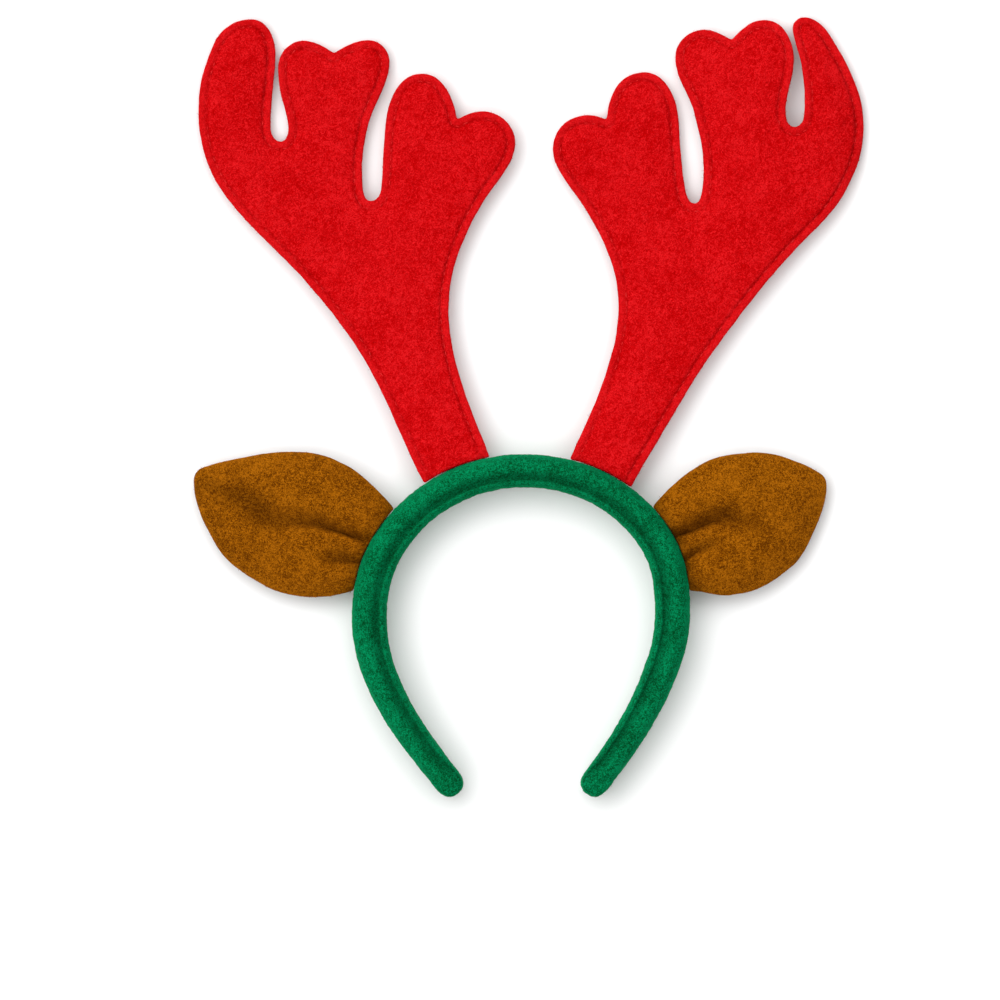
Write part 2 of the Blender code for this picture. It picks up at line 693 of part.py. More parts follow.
def main():
    """Builds the headband."""
    clear_scene()
    band = Band()
    add_band_outer(band)
    add_band_inner(band)
    Antler(band, "left", LEFT_SEAT, LEFT_ROOT_WIDTH, LEFT_ANTLER_ROWS,
           LEFT_ANTLER_ENDS, LEFT_SWELLS, None).build()
    Antler(band, "right", RIGHT_SEAT, RIGHT_ROOT_WIDTH, RIGHT_ANTLER_ROWS,
           RIGHT_ANTLER_ENDS, RIGHT_SWELLS, RIGHT_ROLL).build()
    Ear(band, "left", -EAR_SEAT, EAR_ROOT_WIDTH, LEFT_EAR_ROWS, LEFT_EAR_ENDS, LEFT_FOLDS).build()
    Ear(band, "right", EAR_SEAT, EAR_ROOT_WIDTH, RIGHT_EAR_ROWS, RIGHT_EAR_ENDS, RIGHT_FOLDS).build()
    rest_on_origin()


main()
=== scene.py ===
"""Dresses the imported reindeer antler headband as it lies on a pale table.

The felt antlers, ears and band start as copies of the solid frame. They are puffed up like stuffed
cloth, creased along their seams and folds, sewn with thread and covered with a nap of short fibres.
"""

import json
import logging
import math
from dataclasses import dataclass, field
from enum import Enum
from functools import reduce

import bmesh
import bpy
import numpy as np
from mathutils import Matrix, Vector
from mathutils.bvhtree import BVHTree
from mathutils.geometry import delaunay_2d_cdt
from mathutils.kdtree import KDTree

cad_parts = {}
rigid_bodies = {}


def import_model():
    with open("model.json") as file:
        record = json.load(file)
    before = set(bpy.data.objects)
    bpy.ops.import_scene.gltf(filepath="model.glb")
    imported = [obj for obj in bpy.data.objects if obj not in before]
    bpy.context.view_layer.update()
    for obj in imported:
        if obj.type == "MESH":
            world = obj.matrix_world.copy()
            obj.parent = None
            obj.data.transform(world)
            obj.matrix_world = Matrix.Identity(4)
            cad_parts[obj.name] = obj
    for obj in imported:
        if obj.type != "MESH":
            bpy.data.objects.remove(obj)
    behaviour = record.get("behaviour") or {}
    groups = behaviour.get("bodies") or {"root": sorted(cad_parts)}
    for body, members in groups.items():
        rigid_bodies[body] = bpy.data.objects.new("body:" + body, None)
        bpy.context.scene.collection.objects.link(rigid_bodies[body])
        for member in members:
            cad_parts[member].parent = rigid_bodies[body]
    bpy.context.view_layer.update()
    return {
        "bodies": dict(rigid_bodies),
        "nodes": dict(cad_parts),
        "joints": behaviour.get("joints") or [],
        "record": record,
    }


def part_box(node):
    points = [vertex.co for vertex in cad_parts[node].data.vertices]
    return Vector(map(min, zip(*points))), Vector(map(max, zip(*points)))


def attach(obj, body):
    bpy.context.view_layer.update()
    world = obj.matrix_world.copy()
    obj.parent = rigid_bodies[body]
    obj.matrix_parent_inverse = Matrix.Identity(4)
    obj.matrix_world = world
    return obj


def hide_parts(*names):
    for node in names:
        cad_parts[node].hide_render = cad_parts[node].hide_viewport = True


MM = 0.001
MERGE_DISTANCE = 0.001 * MM
OUTLINE_STEP = 0.4 * MM
REACH = 100.0 * MM
TABLE_CLEARANCE = 0.1 * MM
GAP_PITCHES = 2.0
HEADING_PITCHES = 0.3
WEIGHT_STEPS = 20
NOISE_RANGE = (0.3, 0.7)
PANELS = ("front", "back")

log = logging.getLogger("headband")

Pair = tuple[float, float]
Color = tuple[float, float, float]
Fold = tuple[tuple[float, float, float, float], ...]


class Slot(Enum):
    """The material slots of the record."""

    RED = "red_felt"
    GREEN = "green_felt"
    BROWN = "brown_felt"


class Side(Enum):
    """The two sides of the headband."""

    LEFT = "left"
    RIGHT = "right"


class Face(Enum):
    """The side of a flat felt piece that a seam shows on, as the height of its outward normal."""

    FRONT = 1.0
    BACK = -1.0


def smooth_step(values: np.ndarray, start: float, end: float) -> np.ndarray:
    """Eases values from 0 at start to 1 at end.

    Args:
        values: The values to ease.
        start: The value that gives 0.
        end: The value that gives 1; it may be the smaller one.

    Returns:
        The eased shares.
    """
    share = np.clip((values - start) / (end - start), 0.0, 1.0)
    return share * share * (3.0 - 2.0 * share)


def hump(values: np.ndarray, width: float) -> np.ndarray:
    """Returns a round hump that is 1 where values are 0 and fades over width on either side."""
    return np.exp(-np.square(values / width))


def unit(vectors: np.ndarray) -> np.ndarray:
    """Returns vectors at a length of 1."""
    return vectors / np.linalg.norm(vectors, axis=1)[:, None]


def read_rows(items: bpy.types.bpy_prop_collection, name: str, kind: type = float) -> np.ndarray:
    """Reads three numbers of each vertex, face or triangle of a mesh.

    Args:
        items: The vertices, faces or triangles.
        name: The property to read.
        kind: The type of its numbers.

    Returns:
        A row of numbers for each item.
    """
    values = np.empty(len(items) * 3, dtype=kind)
    items.foreach_get(name, values)
    return values.reshape(-1, 3)


def read_points(obj: bpy.types.Object) -> np.ndarray:
    """Returns a mesh object's vertices as an array of three columns."""
    return read_rows(obj.data.vertices, "co")


def read_normals(obj: bpy.types.Object) -> np.ndarray:
    """Returns a mesh object's vertex normals as an array of three columns."""
    return read_rows(obj.data.vertices, "normal")


def write_points(obj: bpy.types.Object, points: np.ndarray) -> None:
    """Moves a mesh object's vertices, none lower than the table.

    Args:
        obj: The mesh object.
        points: The new places, one row for each vertex.
    """
    points[:, 2] = np.maximum(points[:, 2], TABLE_CLEARANCE)
    obj.data.vertices.foreach_set("co", points.ravel())
    obj.data.update()


def write_attribute(obj: bpy.types.Object, name: str, values: np.ndarray) -> None:
    """Stores a number on each vertex, for the material to read.

    Args:
        obj: The mesh object.
        name: The attribute's name.
        values: A number for each vertex.
    """
    attribute = obj.data.attributes.new(name, "FLOAT", "POINT")
    attribute.data.foreach_set("value", values.astype(np.float32))


def make_active(*objs: bpy.types.Object) -> None:
    """Selects only these objects and makes the first one active.

    Args:
        *objs: The objects.
    """
    bpy.ops.object.select_all(action="DESELECT")
    for obj in objs:
        obj.select_set(True)
    bpy.context.view_layer.objects.active = objs[0]


def add_object(name: str, mesh: bpy.types.Mesh) -> bpy.types.Object:
    """Adds an object to the scene.

    Args:
        name: The object's name.
        mesh: Its mesh.

    Returns:
        The object.
    """
    obj = bpy.data.objects.new(name, mesh)
    bpy.context.scene.collection.objects.link(obj)
    return obj


def apply_modifier(obj: bpy.types.Object, kind: str, **settings: object) -> None:
    """Adds a modifier with the given settings and applies it.

    Args:
        obj: The mesh object.
        kind: The modifier's type.
        **settings: The values of the modifier's own properties.
    """
    make_active(obj)
    modifier = obj.modifiers.new(kind.lower(), kind)
    for name, value in settings.items():
        setattr(modifier, name, value)
    bpy.ops.object.modifier_apply(modifier=modifier.name)


def weigh(obj: bpy.types.Object, name: str, weights: np.ndarray) -> str:
    """Makes a vertex group.

    Args:
        obj: The mesh object.
        name: The group's name.
        weights: A weight for each vertex, from 0 to 1.

    Returns:
        The group's name.
    """
    group = obj.vertex_groups.new(name=name)
    steps = np.round(weights * WEIGHT_STEPS).astype(int)
    for step in range(1, WEIGHT_STEPS + 1):
        group.add(np.nonzero(steps == step)[0].tolist(), step / WEIGHT_STEPS, "REPLACE")
    return name


class NodeDesk:
    """Builds one node tree: a material's, the sky's or a modifier's."""

    def __init__(self, tree: bpy.types.NodeTree) -> None:
        """Takes the tree to build."""
        self.tree = tree

    def add(self, kind: str, **settings: object) -> bpy.types.Node:
        """Adds a node with the given settings.

        Args:
            kind: The node's type.
            **settings: The values of the node's own properties.

        Returns:
            The node.
        """
        node = self.tree.nodes.new(kind)
        for name, value in settings.items():
            setattr(node, name, value)
        return node

    def fill(self, socket: bpy.types.NodeSocket, value: object) -> None:
        """Sets an input, or links it where the value is the output of a node.

        Args:
            socket: The input.
            value: The input's value, or the output to link.
        """
        if isinstance(value, bpy.types.NodeSocket):
            self.tree.links.new(value, socket)
        else:
            socket.default_value = value

    def feed(self, node: bpy.types.Node, **values: object) -> None:
        """Fills a node's inputs, whose names have underscores for spaces."""
        for name, value in values.items():
            self.fill(node.inputs[name.replace("_", " ")], value)

    def math(self, operation: str, *values: object) -> bpy.types.NodeSocket:
        """Adds a math node.

        Args:
            operation: What it works out.
            *values: The numbers or outputs that it takes.

        Returns:
            Its result.
        """
        node = self.add("ShaderNodeMath", operation=operation)
        for socket, value in zip(node.inputs, values):
            self.fill(socket, value)
        return node.outputs[0]

    def ramp(self, value: bpy.types.NodeSocket,
             stops: tuple[tuple[float, Color], ...]) -> bpy.types.NodeSocket:
        """Turns a value into a colour.

        Args:
            value: The value, from 0 to 1.
            stops: Each stop's place and colour, in order.

        Returns:
            The colour.
        """
        node = self.add("ShaderNodeValToRGB")
        elements = node.color_ramp.elements
        while len(elements) < len(stops):
            elements.new(0.5)
        for element, (place, color) in zip(elements, stops):
            element.position = place
            element.color = (*color, 1.0)
        self.feed(node, Fac=value)
        return node.outputs["Color"]


class FinishDesk(NodeDesk):
    """Builds the node tree of one material."""

    MIX_START, MIX_END, MIX_RESULT = 6, 7, 2

    def __init__(self, name: str) -> None:
        """Starts a material with a Principled shader.

        Args:
            name: The material's name.
        """
        self.material = bpy.data.materials.new(name)
        self.material.use_nodes = True
        super().__init__(self.material.node_tree)
        self.shader = self.tree.nodes["Principled BSDF"]
        self.place = self.add("ShaderNodeTexCoord").outputs["Object"]

    def noise(self, grain: float, detail: float, twist: float = 0.0) -> bpy.types.NodeSocket:
        """Adds a noise texture.

        Args:
            grain: The size of its spots in metres.
            detail: How many finer layers it has.
            twist: How much its spots are drawn out into curls.

        Returns:
            The noise, from 0 to 1.
        """
        node = self.add("ShaderNodeTexNoise")
        self.feed(node, Vector=self.place, Scale=1.0 / grain, Detail=detail, Distortion=twist)
        return node.outputs["Fac"]

    def scaled(self, value: bpy.types.NodeSocket, low: float, high: float,
               new_low: float, new_high: float) -> bpy.types.NodeSocket:
        """Maps a value from one range to another and holds it there.

        Args:
            value: The value to map.
            low: The start of its range.
            high: The end of its range.
            new_low: What the start becomes.
            new_high: What the end becomes.

        Returns:
            The mapped value.
        """
        node = self.add("ShaderNodeMapRange")
        self.feed(node, Value=value, From_Min=low, From_Max=high, To_Min=new_low, To_Max=new_high)
        return node.outputs["Result"]

    def stored(self, name: str, reach: float, share: float) -> bpy.types.NodeSocket:
        """Reads a number that is stored on the vertices.

        Args:
            name: The number's name.
            reach: The highest number.
            share: What a number of 1 becomes.

        Returns:
            The number times the share.
        """
        number = self.add("ShaderNodeAttribute", attribute_name=name).outputs["Fac"]
        return self.scaled(number, 0.0, reach, 0.0, reach * share)

    def blend(self, share: bpy.types.NodeSocket, start: bpy.types.NodeSocket,
              end: Color) -> bpy.types.NodeSocket:
        """Blends a colour towards another one.

        Args:
            share: How far, from 0 to 1.
            start: The colour at 0.
            end: The colour at 1.

        Returns:
            The blended colour.
        """
        node = self.add("ShaderNodeMix", data_type="RGBA")
        self.fill(node.inputs["Factor"], share)
        self.fill(node.inputs[self.MIX_START], start)
        self.fill(node.inputs[self.MIX_END], (*end, 1.0))
        return node.outputs[self.MIX_RESULT]

    def bump(self, height: bpy.types.NodeSocket, depth: float,
             under: bpy.types.NodeSocket | None = None) -> bpy.types.NodeSocket:
        """Adds a bump.

        Args:
            height: The height, from 0 to 1.
            depth: What a height of 1 stands for, in metres.
            under: The normal that it is laid on.

        Returns:
            The new normal.
        """
        node = self.add("ShaderNodeBump")
        self.feed(node, Height=height, Distance=depth, Strength=1.0)
        if under is not None:
            self.feed(node, Normal=under)
        return node.outputs["Normal"]


@dataclass(frozen=True)
class Grain:
    """One layer of a felt's unevenness."""

    size: float
    detail: float
    twist: float
    tone: float
    depth: float = 0.0


@dataclass(frozen=True)
class FeltFinish:
    """A brushed felt: its colours from the hollows to the fibre tips, and how coarse it is. Its tone is
    partly its own uneven colour and partly painted shade in the hollows of its bump and painted highlight on
    its raised fibres.
    """

    slot: Slot
    dark: Color
    body: Color
    light: Color
    sheen: float
    contrast: float
    crease_darkness: float
    painted_highlight_strength: float = 0.35
    patch: Grain = Grain(size=14.0 * MM, detail=2.0, twist=0.0, tone=0.14)
    clump: Grain = Grain(size=3.2 * MM, detail=3.0, twist=0.6, tone=0.16, depth=0.45 * MM)
    curl: Grain = Grain(size=1.25 * MM, detail=2.0, twist=2.4, tone=0.45, depth=0.30 * MM)
    fibre: Grain = Grain(size=0.42 * MM, detail=2.0, twist=1.2, tone=0.42, depth=0.12 * MM)
    strand: Grain = Grain(size=2.1 * MM, detail=1.5, twist=1.8, tone=0.45)
    strand_edges: tuple[float, float, float] = (0.43, 0.50, 0.57)
    strand_shadow: float = 0.15
    stops: tuple[float, float, float] = (0.14, 0.47, 0.84)
    tone_reach: float = 0.8
    middle_tone: float = 0.5
    crease_depth: float = 0.45
    flange_reach: float = 2.0
    roughness: Pair = (0.98, 0.86)
    sheen_roughness: float = 0.5
    gloss: float = 0.02

    def material(self) -> bpy.types.Material:
        """Builds the felt's look.

        Returns:
            The material, which reads the painted shade and painted highlight attributes.
        """
        desk = FinishDesk(self.slot.value)
        reach = self.tone_reach * self.contrast
        noises = {grain: desk.noise(grain.size, grain.detail, grain.twist)
                  for grain in (self.patch, self.clump, self.curl, self.fibre, self.strand)}
        strand = noises.pop(self.strand)
        tones = [desk.scaled(noise, *NOISE_RANGE, -grain.tone * reach, grain.tone * reach)
                 for grain, noise in noises.items()]
        low, middle, high = self.strand_edges
        shadow, glint = -self.strand_shadow * reach, self.strand.tone * reach
        tones.append(desk.scaled(strand, low, middle, shadow, glint))
        tones.append(desk.scaled(strand, middle, high, 0.0, shadow - glint))
        # The clump, curl and fibre noises also drive the bump below, so this tone is partly painted shade in
        # the bump's hollows and painted highlight on its crests; the patch noise is the felt's own uneven
        # tone.
        tone = reduce(lambda one, other: desk.math("ADD", one, other), tones, self.middle_tone)
        color = desk.ramp(tone, tuple(zip(self.stops, (self.dark, self.body, self.light))))
        # Painted highlight: the colour is lightened towards the light colour where the pieces store it, along
        # rims, on fold ridges and on the nap's fibres.
        color = desk.blend(desk.stored("flange", self.flange_reach, self.painted_highlight_strength), color, self.light)
        # Painted shade: the colour is darkened towards a deep shade where the pieces store it, in seams,
        # grooves, folds and next to the band.
        deep = tuple(self.crease_depth * channel for channel in self.dark)
        color = desk.blend(desk.stored("crease", 1.0, self.crease_darkness), color, deep)
        normal = None
        for grain in (self.clump, self.curl, self.fibre):
            normal = desk.bump(noises[grain], grain.depth, normal)
        desk.feed(desk.shader, Base_Color=color, Normal=normal,
                  Roughness=desk.scaled(noises[self.curl], *NOISE_RANGE, *self.roughness),
                  Sheen_Weight=self.sheen, Sheen_Roughness=self.sheen_roughness,
                  Sheen_Tint=(*(channel / max(self.light) for channel in self.light), 1.0),
                  Specular_IOR_Level=self.gloss)
        return desk.material


@dataclass(frozen=True)
class ThreadFinish:
    """Twisted sewing thread."""

    slot: Slot
    dark: Color
    light: Color
    strand: float = 0.35 * MM
    depth: float = 0.1 * MM
    stops: Pair = (0.35, 0.65)
    roughness: Pair = (0.85, 0.7)
    gloss: float = 0.05

    def material(self) -> bpy.types.Material:
        """Builds the thread's look.

        Returns:
            The material.
        """
        desk = FinishDesk(f"{self.slot.value}_thread")
        strand = desk.noise(self.strand, 1.0, 1.0)
        color = desk.ramp(strand, tuple(zip(self.stops, (self.dark, self.light))))
        desk.feed(desk.shader, Base_Color=color, Normal=desk.bump(strand, self.depth),
                  Roughness=desk.scaled(strand, *NOISE_RANGE, *self.roughness),
                  Specular_IOR_Level=self.gloss)
        return desk.material


RED = FeltFinish(Slot.RED, dark=(0.375, 0.0001, 0.0004), body=(0.475, 0.0006, 0.0016),
                 light=(0.65, 0.0090, 0.0120), sheen=0.01, contrast=1.1, crease_darkness=0.4,
                 painted_highlight_strength=0.25)
GREEN = FeltFinish(Slot.GREEN, dark=(0.0001, 0.045, 0.011), body=(0.0002, 0.103, 0.032),
                   light=(0.0007, 0.225, 0.082), sheen=0.12, contrast=1.25, crease_darkness=0.6,
                   painted_highlight_strength=0.45)
BROWN = FeltFinish(Slot.BROWN, dark=(0.092, 0.0235, 0.0001), body=(0.203, 0.0570, 0.0003),
                   light=(0.355, 0.112, 0.0030), sheen=0.04, contrast=1.3, crease_darkness=0.95)
RED_THREAD = ThreadFinish(Slot.RED, dark=(0.46, 0.0008, 0.002), light=(0.70, 0.030, 0.030))


# The ears' folds from the tip to the band: shares of the ear's box across and up, width and depth in mm.
EAR_FOLDS = {
    Side.LEFT: (
        ((0.08, 0.76, 3.8, 0.7), (0.26, 0.67, 4.4, 1.2), (0.35, 0.57, 4.0, 1.3), (0.41, 0.51, 3.0, 1.2),
         (0.49, 0.51, 2.4, 1.2), (0.63, 0.49, 1.7, 1.5), (0.72, 0.45, 1.2, 1.8), (0.86, 0.38, 1.1, 2.2)),
        ((0.62, 0.28, 3.0, 0.2), (0.70, 0.26, 2.4, 1.3), (0.80, 0.24, 1.7, 1.7), (0.86, 0.23, 1.5, 1.8)),
    ),
    Side.RIGHT: (
        ((0.66, 0.47, 4.0, 0.1), (0.56, 0.51, 3.6, 0.8), (0.44, 0.54, 2.8, 1.4), (0.33, 0.51, 2.0, 1.8),
         (0.22, 0.45, 1.4, 2.1), (0.10, 0.40, 1.2, 2.3)),
        ((0.42, 0.40, 2.8, 0.1), (0.34, 0.35, 2.2, 1.0), (0.25, 0.30, 1.6, 1.6), (0.18, 0.24, 1.3, 1.8)),
    ),
}


def nearest(places: np.ndarray, targets: np.ndarray) -> tuple[np.ndarray, np.ndarray]:
    """Finds the nearest target to each place, seen from above.

    Args:
        places: The places, with two or more columns.
        targets: The targets, with two or more columns.

    Returns:
        The nearest target's index and its distance, for each place.
    """
    tree = KDTree(len(targets))
    for index, target in enumerate(targets[:, :2].tolist()):
        tree.insert((*target, 0.0), index)
    tree.balance()
    found = [tree.find((*place, 0.0)) for place in places[:, :2].tolist()]
    return np.array([hit[1] for hit in found]), np.array([hit[2] for hit in found])


class Outline:
    """The outline of a solid's upper side seen from above, made smooth between its corners.

    It runs anticlockwise, with the solid on its left. Its points lie at even shares of each of the
    solid's own straight edges.
    """

    LEVEL = 0.02
    CORNER = math.radians(30.0)
    TURN_STEP = 0.2
    NEAREST_SHARE = 0.97

    def __init__(self, node: bpy.types.Object, step: float) -> None:
        """Reads a solid's outline.

        Args:
            node: The solid.
            step: The longest distance between the outline's points.
        """
        self.rim = self.walk(node)
        before, after = np.roll(self.rim, 1, axis=0), np.roll(self.rim, -1, axis=0)
        arrive, leave = (self.rim - before)[:, :2], (after - self.rim)[:, :2]
        arrive_length = np.linalg.norm(arrive, axis=1)[:, None]
        leave_length = np.linalg.norm(leave, axis=1)[:, None]
        arrive, leave = arrive / arrive_length, leave / leave_length
        along = (arrive * leave_length + leave * arrive_length) / (arrive_length + leave_length)
        corner = np.sum(arrive * leave, axis=1) < math.cos(self.CORNER)
        heading_in = np.where(corner[:, None], arrive, along)
        heading_out = np.where(corner[:, None], leave, along)
        straight, curve, inward = [], [], []
        for index in range(len(self.rim)):
            other = (index + 1) % len(self.rim)
            length = float(leave_length[index, 0])
            count = math.ceil(length / step)
            share = (np.arange(count) / count)[:, None]
            straight.append(self.rim[index] * (1.0 - share) + self.rim[other] * share)
            start, end = self.rim[index, :2], self.rim[other, :2]
            pull_out, pull_in = heading_out[index] * length, heading_in[other] * length
            square, cube = share**2, share**3
            curve.append((2 * cube - 3 * square + 1) * start + (cube - 2 * square + share) * pull_out
                         + (3 * square - 2 * cube) * end + (cube - square) * pull_in)
            slope = unit((6 * square - 6 * share) * (start - end) + (3 * square - 4 * share + 1) * pull_out
                         + (3 * square - 2 * share) * pull_in)
            inward.append(np.stack((-slope[:, 1], slope[:, 0]), axis=1))
        self.straight = np.concatenate(straight)
        self.curve = np.concatenate(curve)
        self.inward = np.concatenate(inward)

    def walk(self, node: bpy.types.Object) -> np.ndarray:
        """Walks round the faces of a solid that look up.

        Args:
            node: The solid.

        Returns:
            The corners of the longest loop.
        """
        desk = bmesh.new()
        desk.from_mesh(node.data)
        bmesh.ops.remove_doubles(desk, verts=desk.verts, dist=MERGE_DISTANCE)
        following = {}
        for face in desk.faces:
            if face.normal.z <= self.LEVEL:
                continue
            for loop in face.loops:
                others = [other for other in loop.edge.link_faces if other is not face]
                if all(other.normal.z <= self.LEVEL for other in others):
                    following[loop.vert] = loop.link_loop_next.vert
        longest = []
        while following:
            vert, after = following.popitem()
            loop = [vert]
            while after in following:
                loop.append(after)
                after = following.pop(after)
            longest = max(longest, loop, key=len)
        places = np.array([vert.co for vert in longest])
        desk.free()
        return places

    def inset(self, distance: float, kept: np.ndarray | None = None) -> np.ndarray:
        """Draws the line that runs inside the curve, bent round the corners that point inwards.

        Args:
            distance: How far inside it runs.
            kept: Which of the curve's points it follows, or all of them.

        Returns:
            The line's points.
        """
        lines = []
        for index in range(len(self.curve)):
            if kept is not None and not (kept[index] and kept[index - 1]):
                continue
            start, end = self.inward[index - 1], self.inward[index]
            turn = math.atan2(start[0] * end[1] - start[1] * end[0], float(np.dot(start, end)))
            for share in np.linspace(0.0, 1.0, max(2, math.ceil(abs(turn) / self.TURN_STEP)))[1:]:
                angle = math.atan2(start[1], start[0]) + turn * share
                lines.append(self.curve[index] + distance * np.array((math.cos(angle), math.sin(angle))))
        line = np.array(lines)
        return line[nearest(line, self.curve)[1] > self.NEAREST_SHARE * distance]

    def holds(self, places: np.ndarray) -> np.ndarray:
        """Tells which places lie inside the curve.

        Args:
            places: The places, with two columns.

        Returns:
            Whether each lies inside.
        """
        start, end = self.curve, np.roll(self.curve, -1, axis=0)
        x, y = places[:, 0][:, None], places[:, 1][:, None]
        spans = (start[:, 1] > y) != (end[:, 1] > y)
        rise = np.where(end[:, 1] == start[:, 1], 1.0, end[:, 1] - start[:, 1])
        crossing = start[:, 0] + (y - start[:, 1]) * (end[:, 0] - start[:, 0]) / rise
        return np.count_nonzero(spans & (x < crossing), axis=1) % 2 == 1

    def grid(self, step: float, margin: float) -> np.ndarray:
        """Fills the curve with a staggered grid.

        Args:
            step: The distance between two places.
            margin: How far inside the curve they lie at least.

        Returns:
            The places.
        """
        low = self.curve.min(axis=0)
        width, depth = self.curve.max(axis=0) - low
        rise = step * math.sqrt(3.0) / 2.0
        rows, columns = np.mgrid[0:math.ceil(depth / rise), 0:math.ceil(width / step)]
        places = np.stack((low[0] + (columns + 0.5 * (rows % 2)) * step, low[1] + rows * rise), axis=-1)
        places = places.reshape(-1, 2)
        places = places[self.holds(places)]
        return places[nearest(places, self.curve)[1] > margin]


@dataclass
class PaddedPiece:
    """A felt piece that starts as a copy of solids of the frame."""

    name: str
    nodes: tuple[str, ...]
    finish: FeltFinish
    voxel: float = 1.3 * MM
    swell: float = 0.8 * MM
    fill: float = 0.4
    facet_rounds: int = 24
    smooths_across: bool = False
    lump: float = 9.0 * MM
    lump_depth: float = 0.5 * MM
    nub: float = 1.9 * MM
    nub_depth: float = 0.14 * MM
    obj: bpy.types.Object | None = None
    crease: np.ndarray | None = None
    flange: np.ndarray | None = None
    shells: dict[bpy.types.Object, tuple[str, ...]] = field(default_factory=dict)

    def copy_solids(self, frame: dict) -> None:
        """Joins copies of the solids.

        Args:
            frame: The loaded frame.
        """
        parts = []
        for node in self.nodes:
            part = add_object(self.name, frame["nodes"][node].data.copy())
            part.data.materials.clear()
            parts.append(part)
        make_active(*parts)
        if len(parts) > 1:
            bpy.ops.object.join()
        self.obj = parts[0]
        self.obj.name = self.name
        bpy.ops.object.mode_set(mode="EDIT")
        bpy.ops.mesh.select_all(action="SELECT")
        bpy.ops.mesh.remove_doubles(threshold=MERGE_DISTANCE)
        bpy.ops.object.mode_set(mode="OBJECT")

    def cut(self, frame: dict) -> None:
        """Makes the piece as an even net of small faces over the solids' form.

        Args:
            frame: The loaded frame.
        """
        self.copy_solids(frame)
        apply_modifier(self.obj, "REMESH", mode="VOXEL", voxel_size=self.voxel)
        self.read_lines(frame)
        self.round_facets()

    def read_lines(self, frame: dict) -> None:
        """Reads the outlines and seams that the piece needs from the frame."""

    def round_facets(self) -> None:
        """Smooths the solid's flat facets away."""
        group = weigh(self.obj, "facets", self.facet_weights(read_points(self.obj)))
        apply_modifier(self.obj, "SMOOTH", factor=0.5, iterations=self.facet_rounds, vertex_group=group,
                       use_x=self.smooths_across, use_y=self.smooths_across)
        self.obj.vertex_groups.clear()

    def facet_weights(self, points: np.ndarray) -> np.ndarray:
        """Returns how much each point may be smoothed."""
        return np.ones(len(points))

    def pins(self, points: np.ndarray) -> np.ndarray:
        """Returns how firmly each point is held while the stuffing swells the felt."""
        return np.zeros(len(points))

    def shape(self) -> None:
        """Makes the fine surface: seams, folds and unevenness."""
        apply_modifier(self.obj, "SUBSURF", levels=1, render_levels=1)
        self.crease = np.zeros(len(self.obj.data.vertices))
        self.flange = np.zeros(len(self.obj.data.vertices))
        self.sew()
        self.roughen()

    def sew(self) -> None:
        """Presses the seams and folds in."""

    def roughen(self) -> None:
        """Gives the felt its lumps and nubs."""
        for name, size, depth in (("lump", self.lump, self.lump_depth), ("nub", self.nub, self.nub_depth)):
            texture = bpy.data.textures.new(name, "CLOUDS")
            texture.noise_scale = size
            texture.noise_depth = 1
            apply_modifier(self.obj, "DISPLACE", texture=texture, strength=depth, mid_level=0.5)
        write_points(self.obj, read_points(self.obj))

    def dress(self) -> None:
        """Finishes the piece and hangs its shells on the frame."""
        make_active(self.obj)
        bpy.ops.object.shade_smooth()
        # Store the painted shade and the painted highlight for the material.
        write_attribute(self.obj, "crease", self.crease)
        write_attribute(self.obj, "flange", self.flange)
        self.obj.data.materials.append(self.finish.material())
        self.shells = self.part()
        for shell, nodes in self.shells.items():
            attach(shell, "root")
            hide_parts(*nodes)
            log.info("%s: %d faces", shell.name, len(shell.data.polygons))

    def part(self) -> dict[bpy.types.Object, tuple[str, ...]]:
        """Returns the objects that the piece ends up as, and the solids that each stands for."""
        return {self.obj: self.nodes}


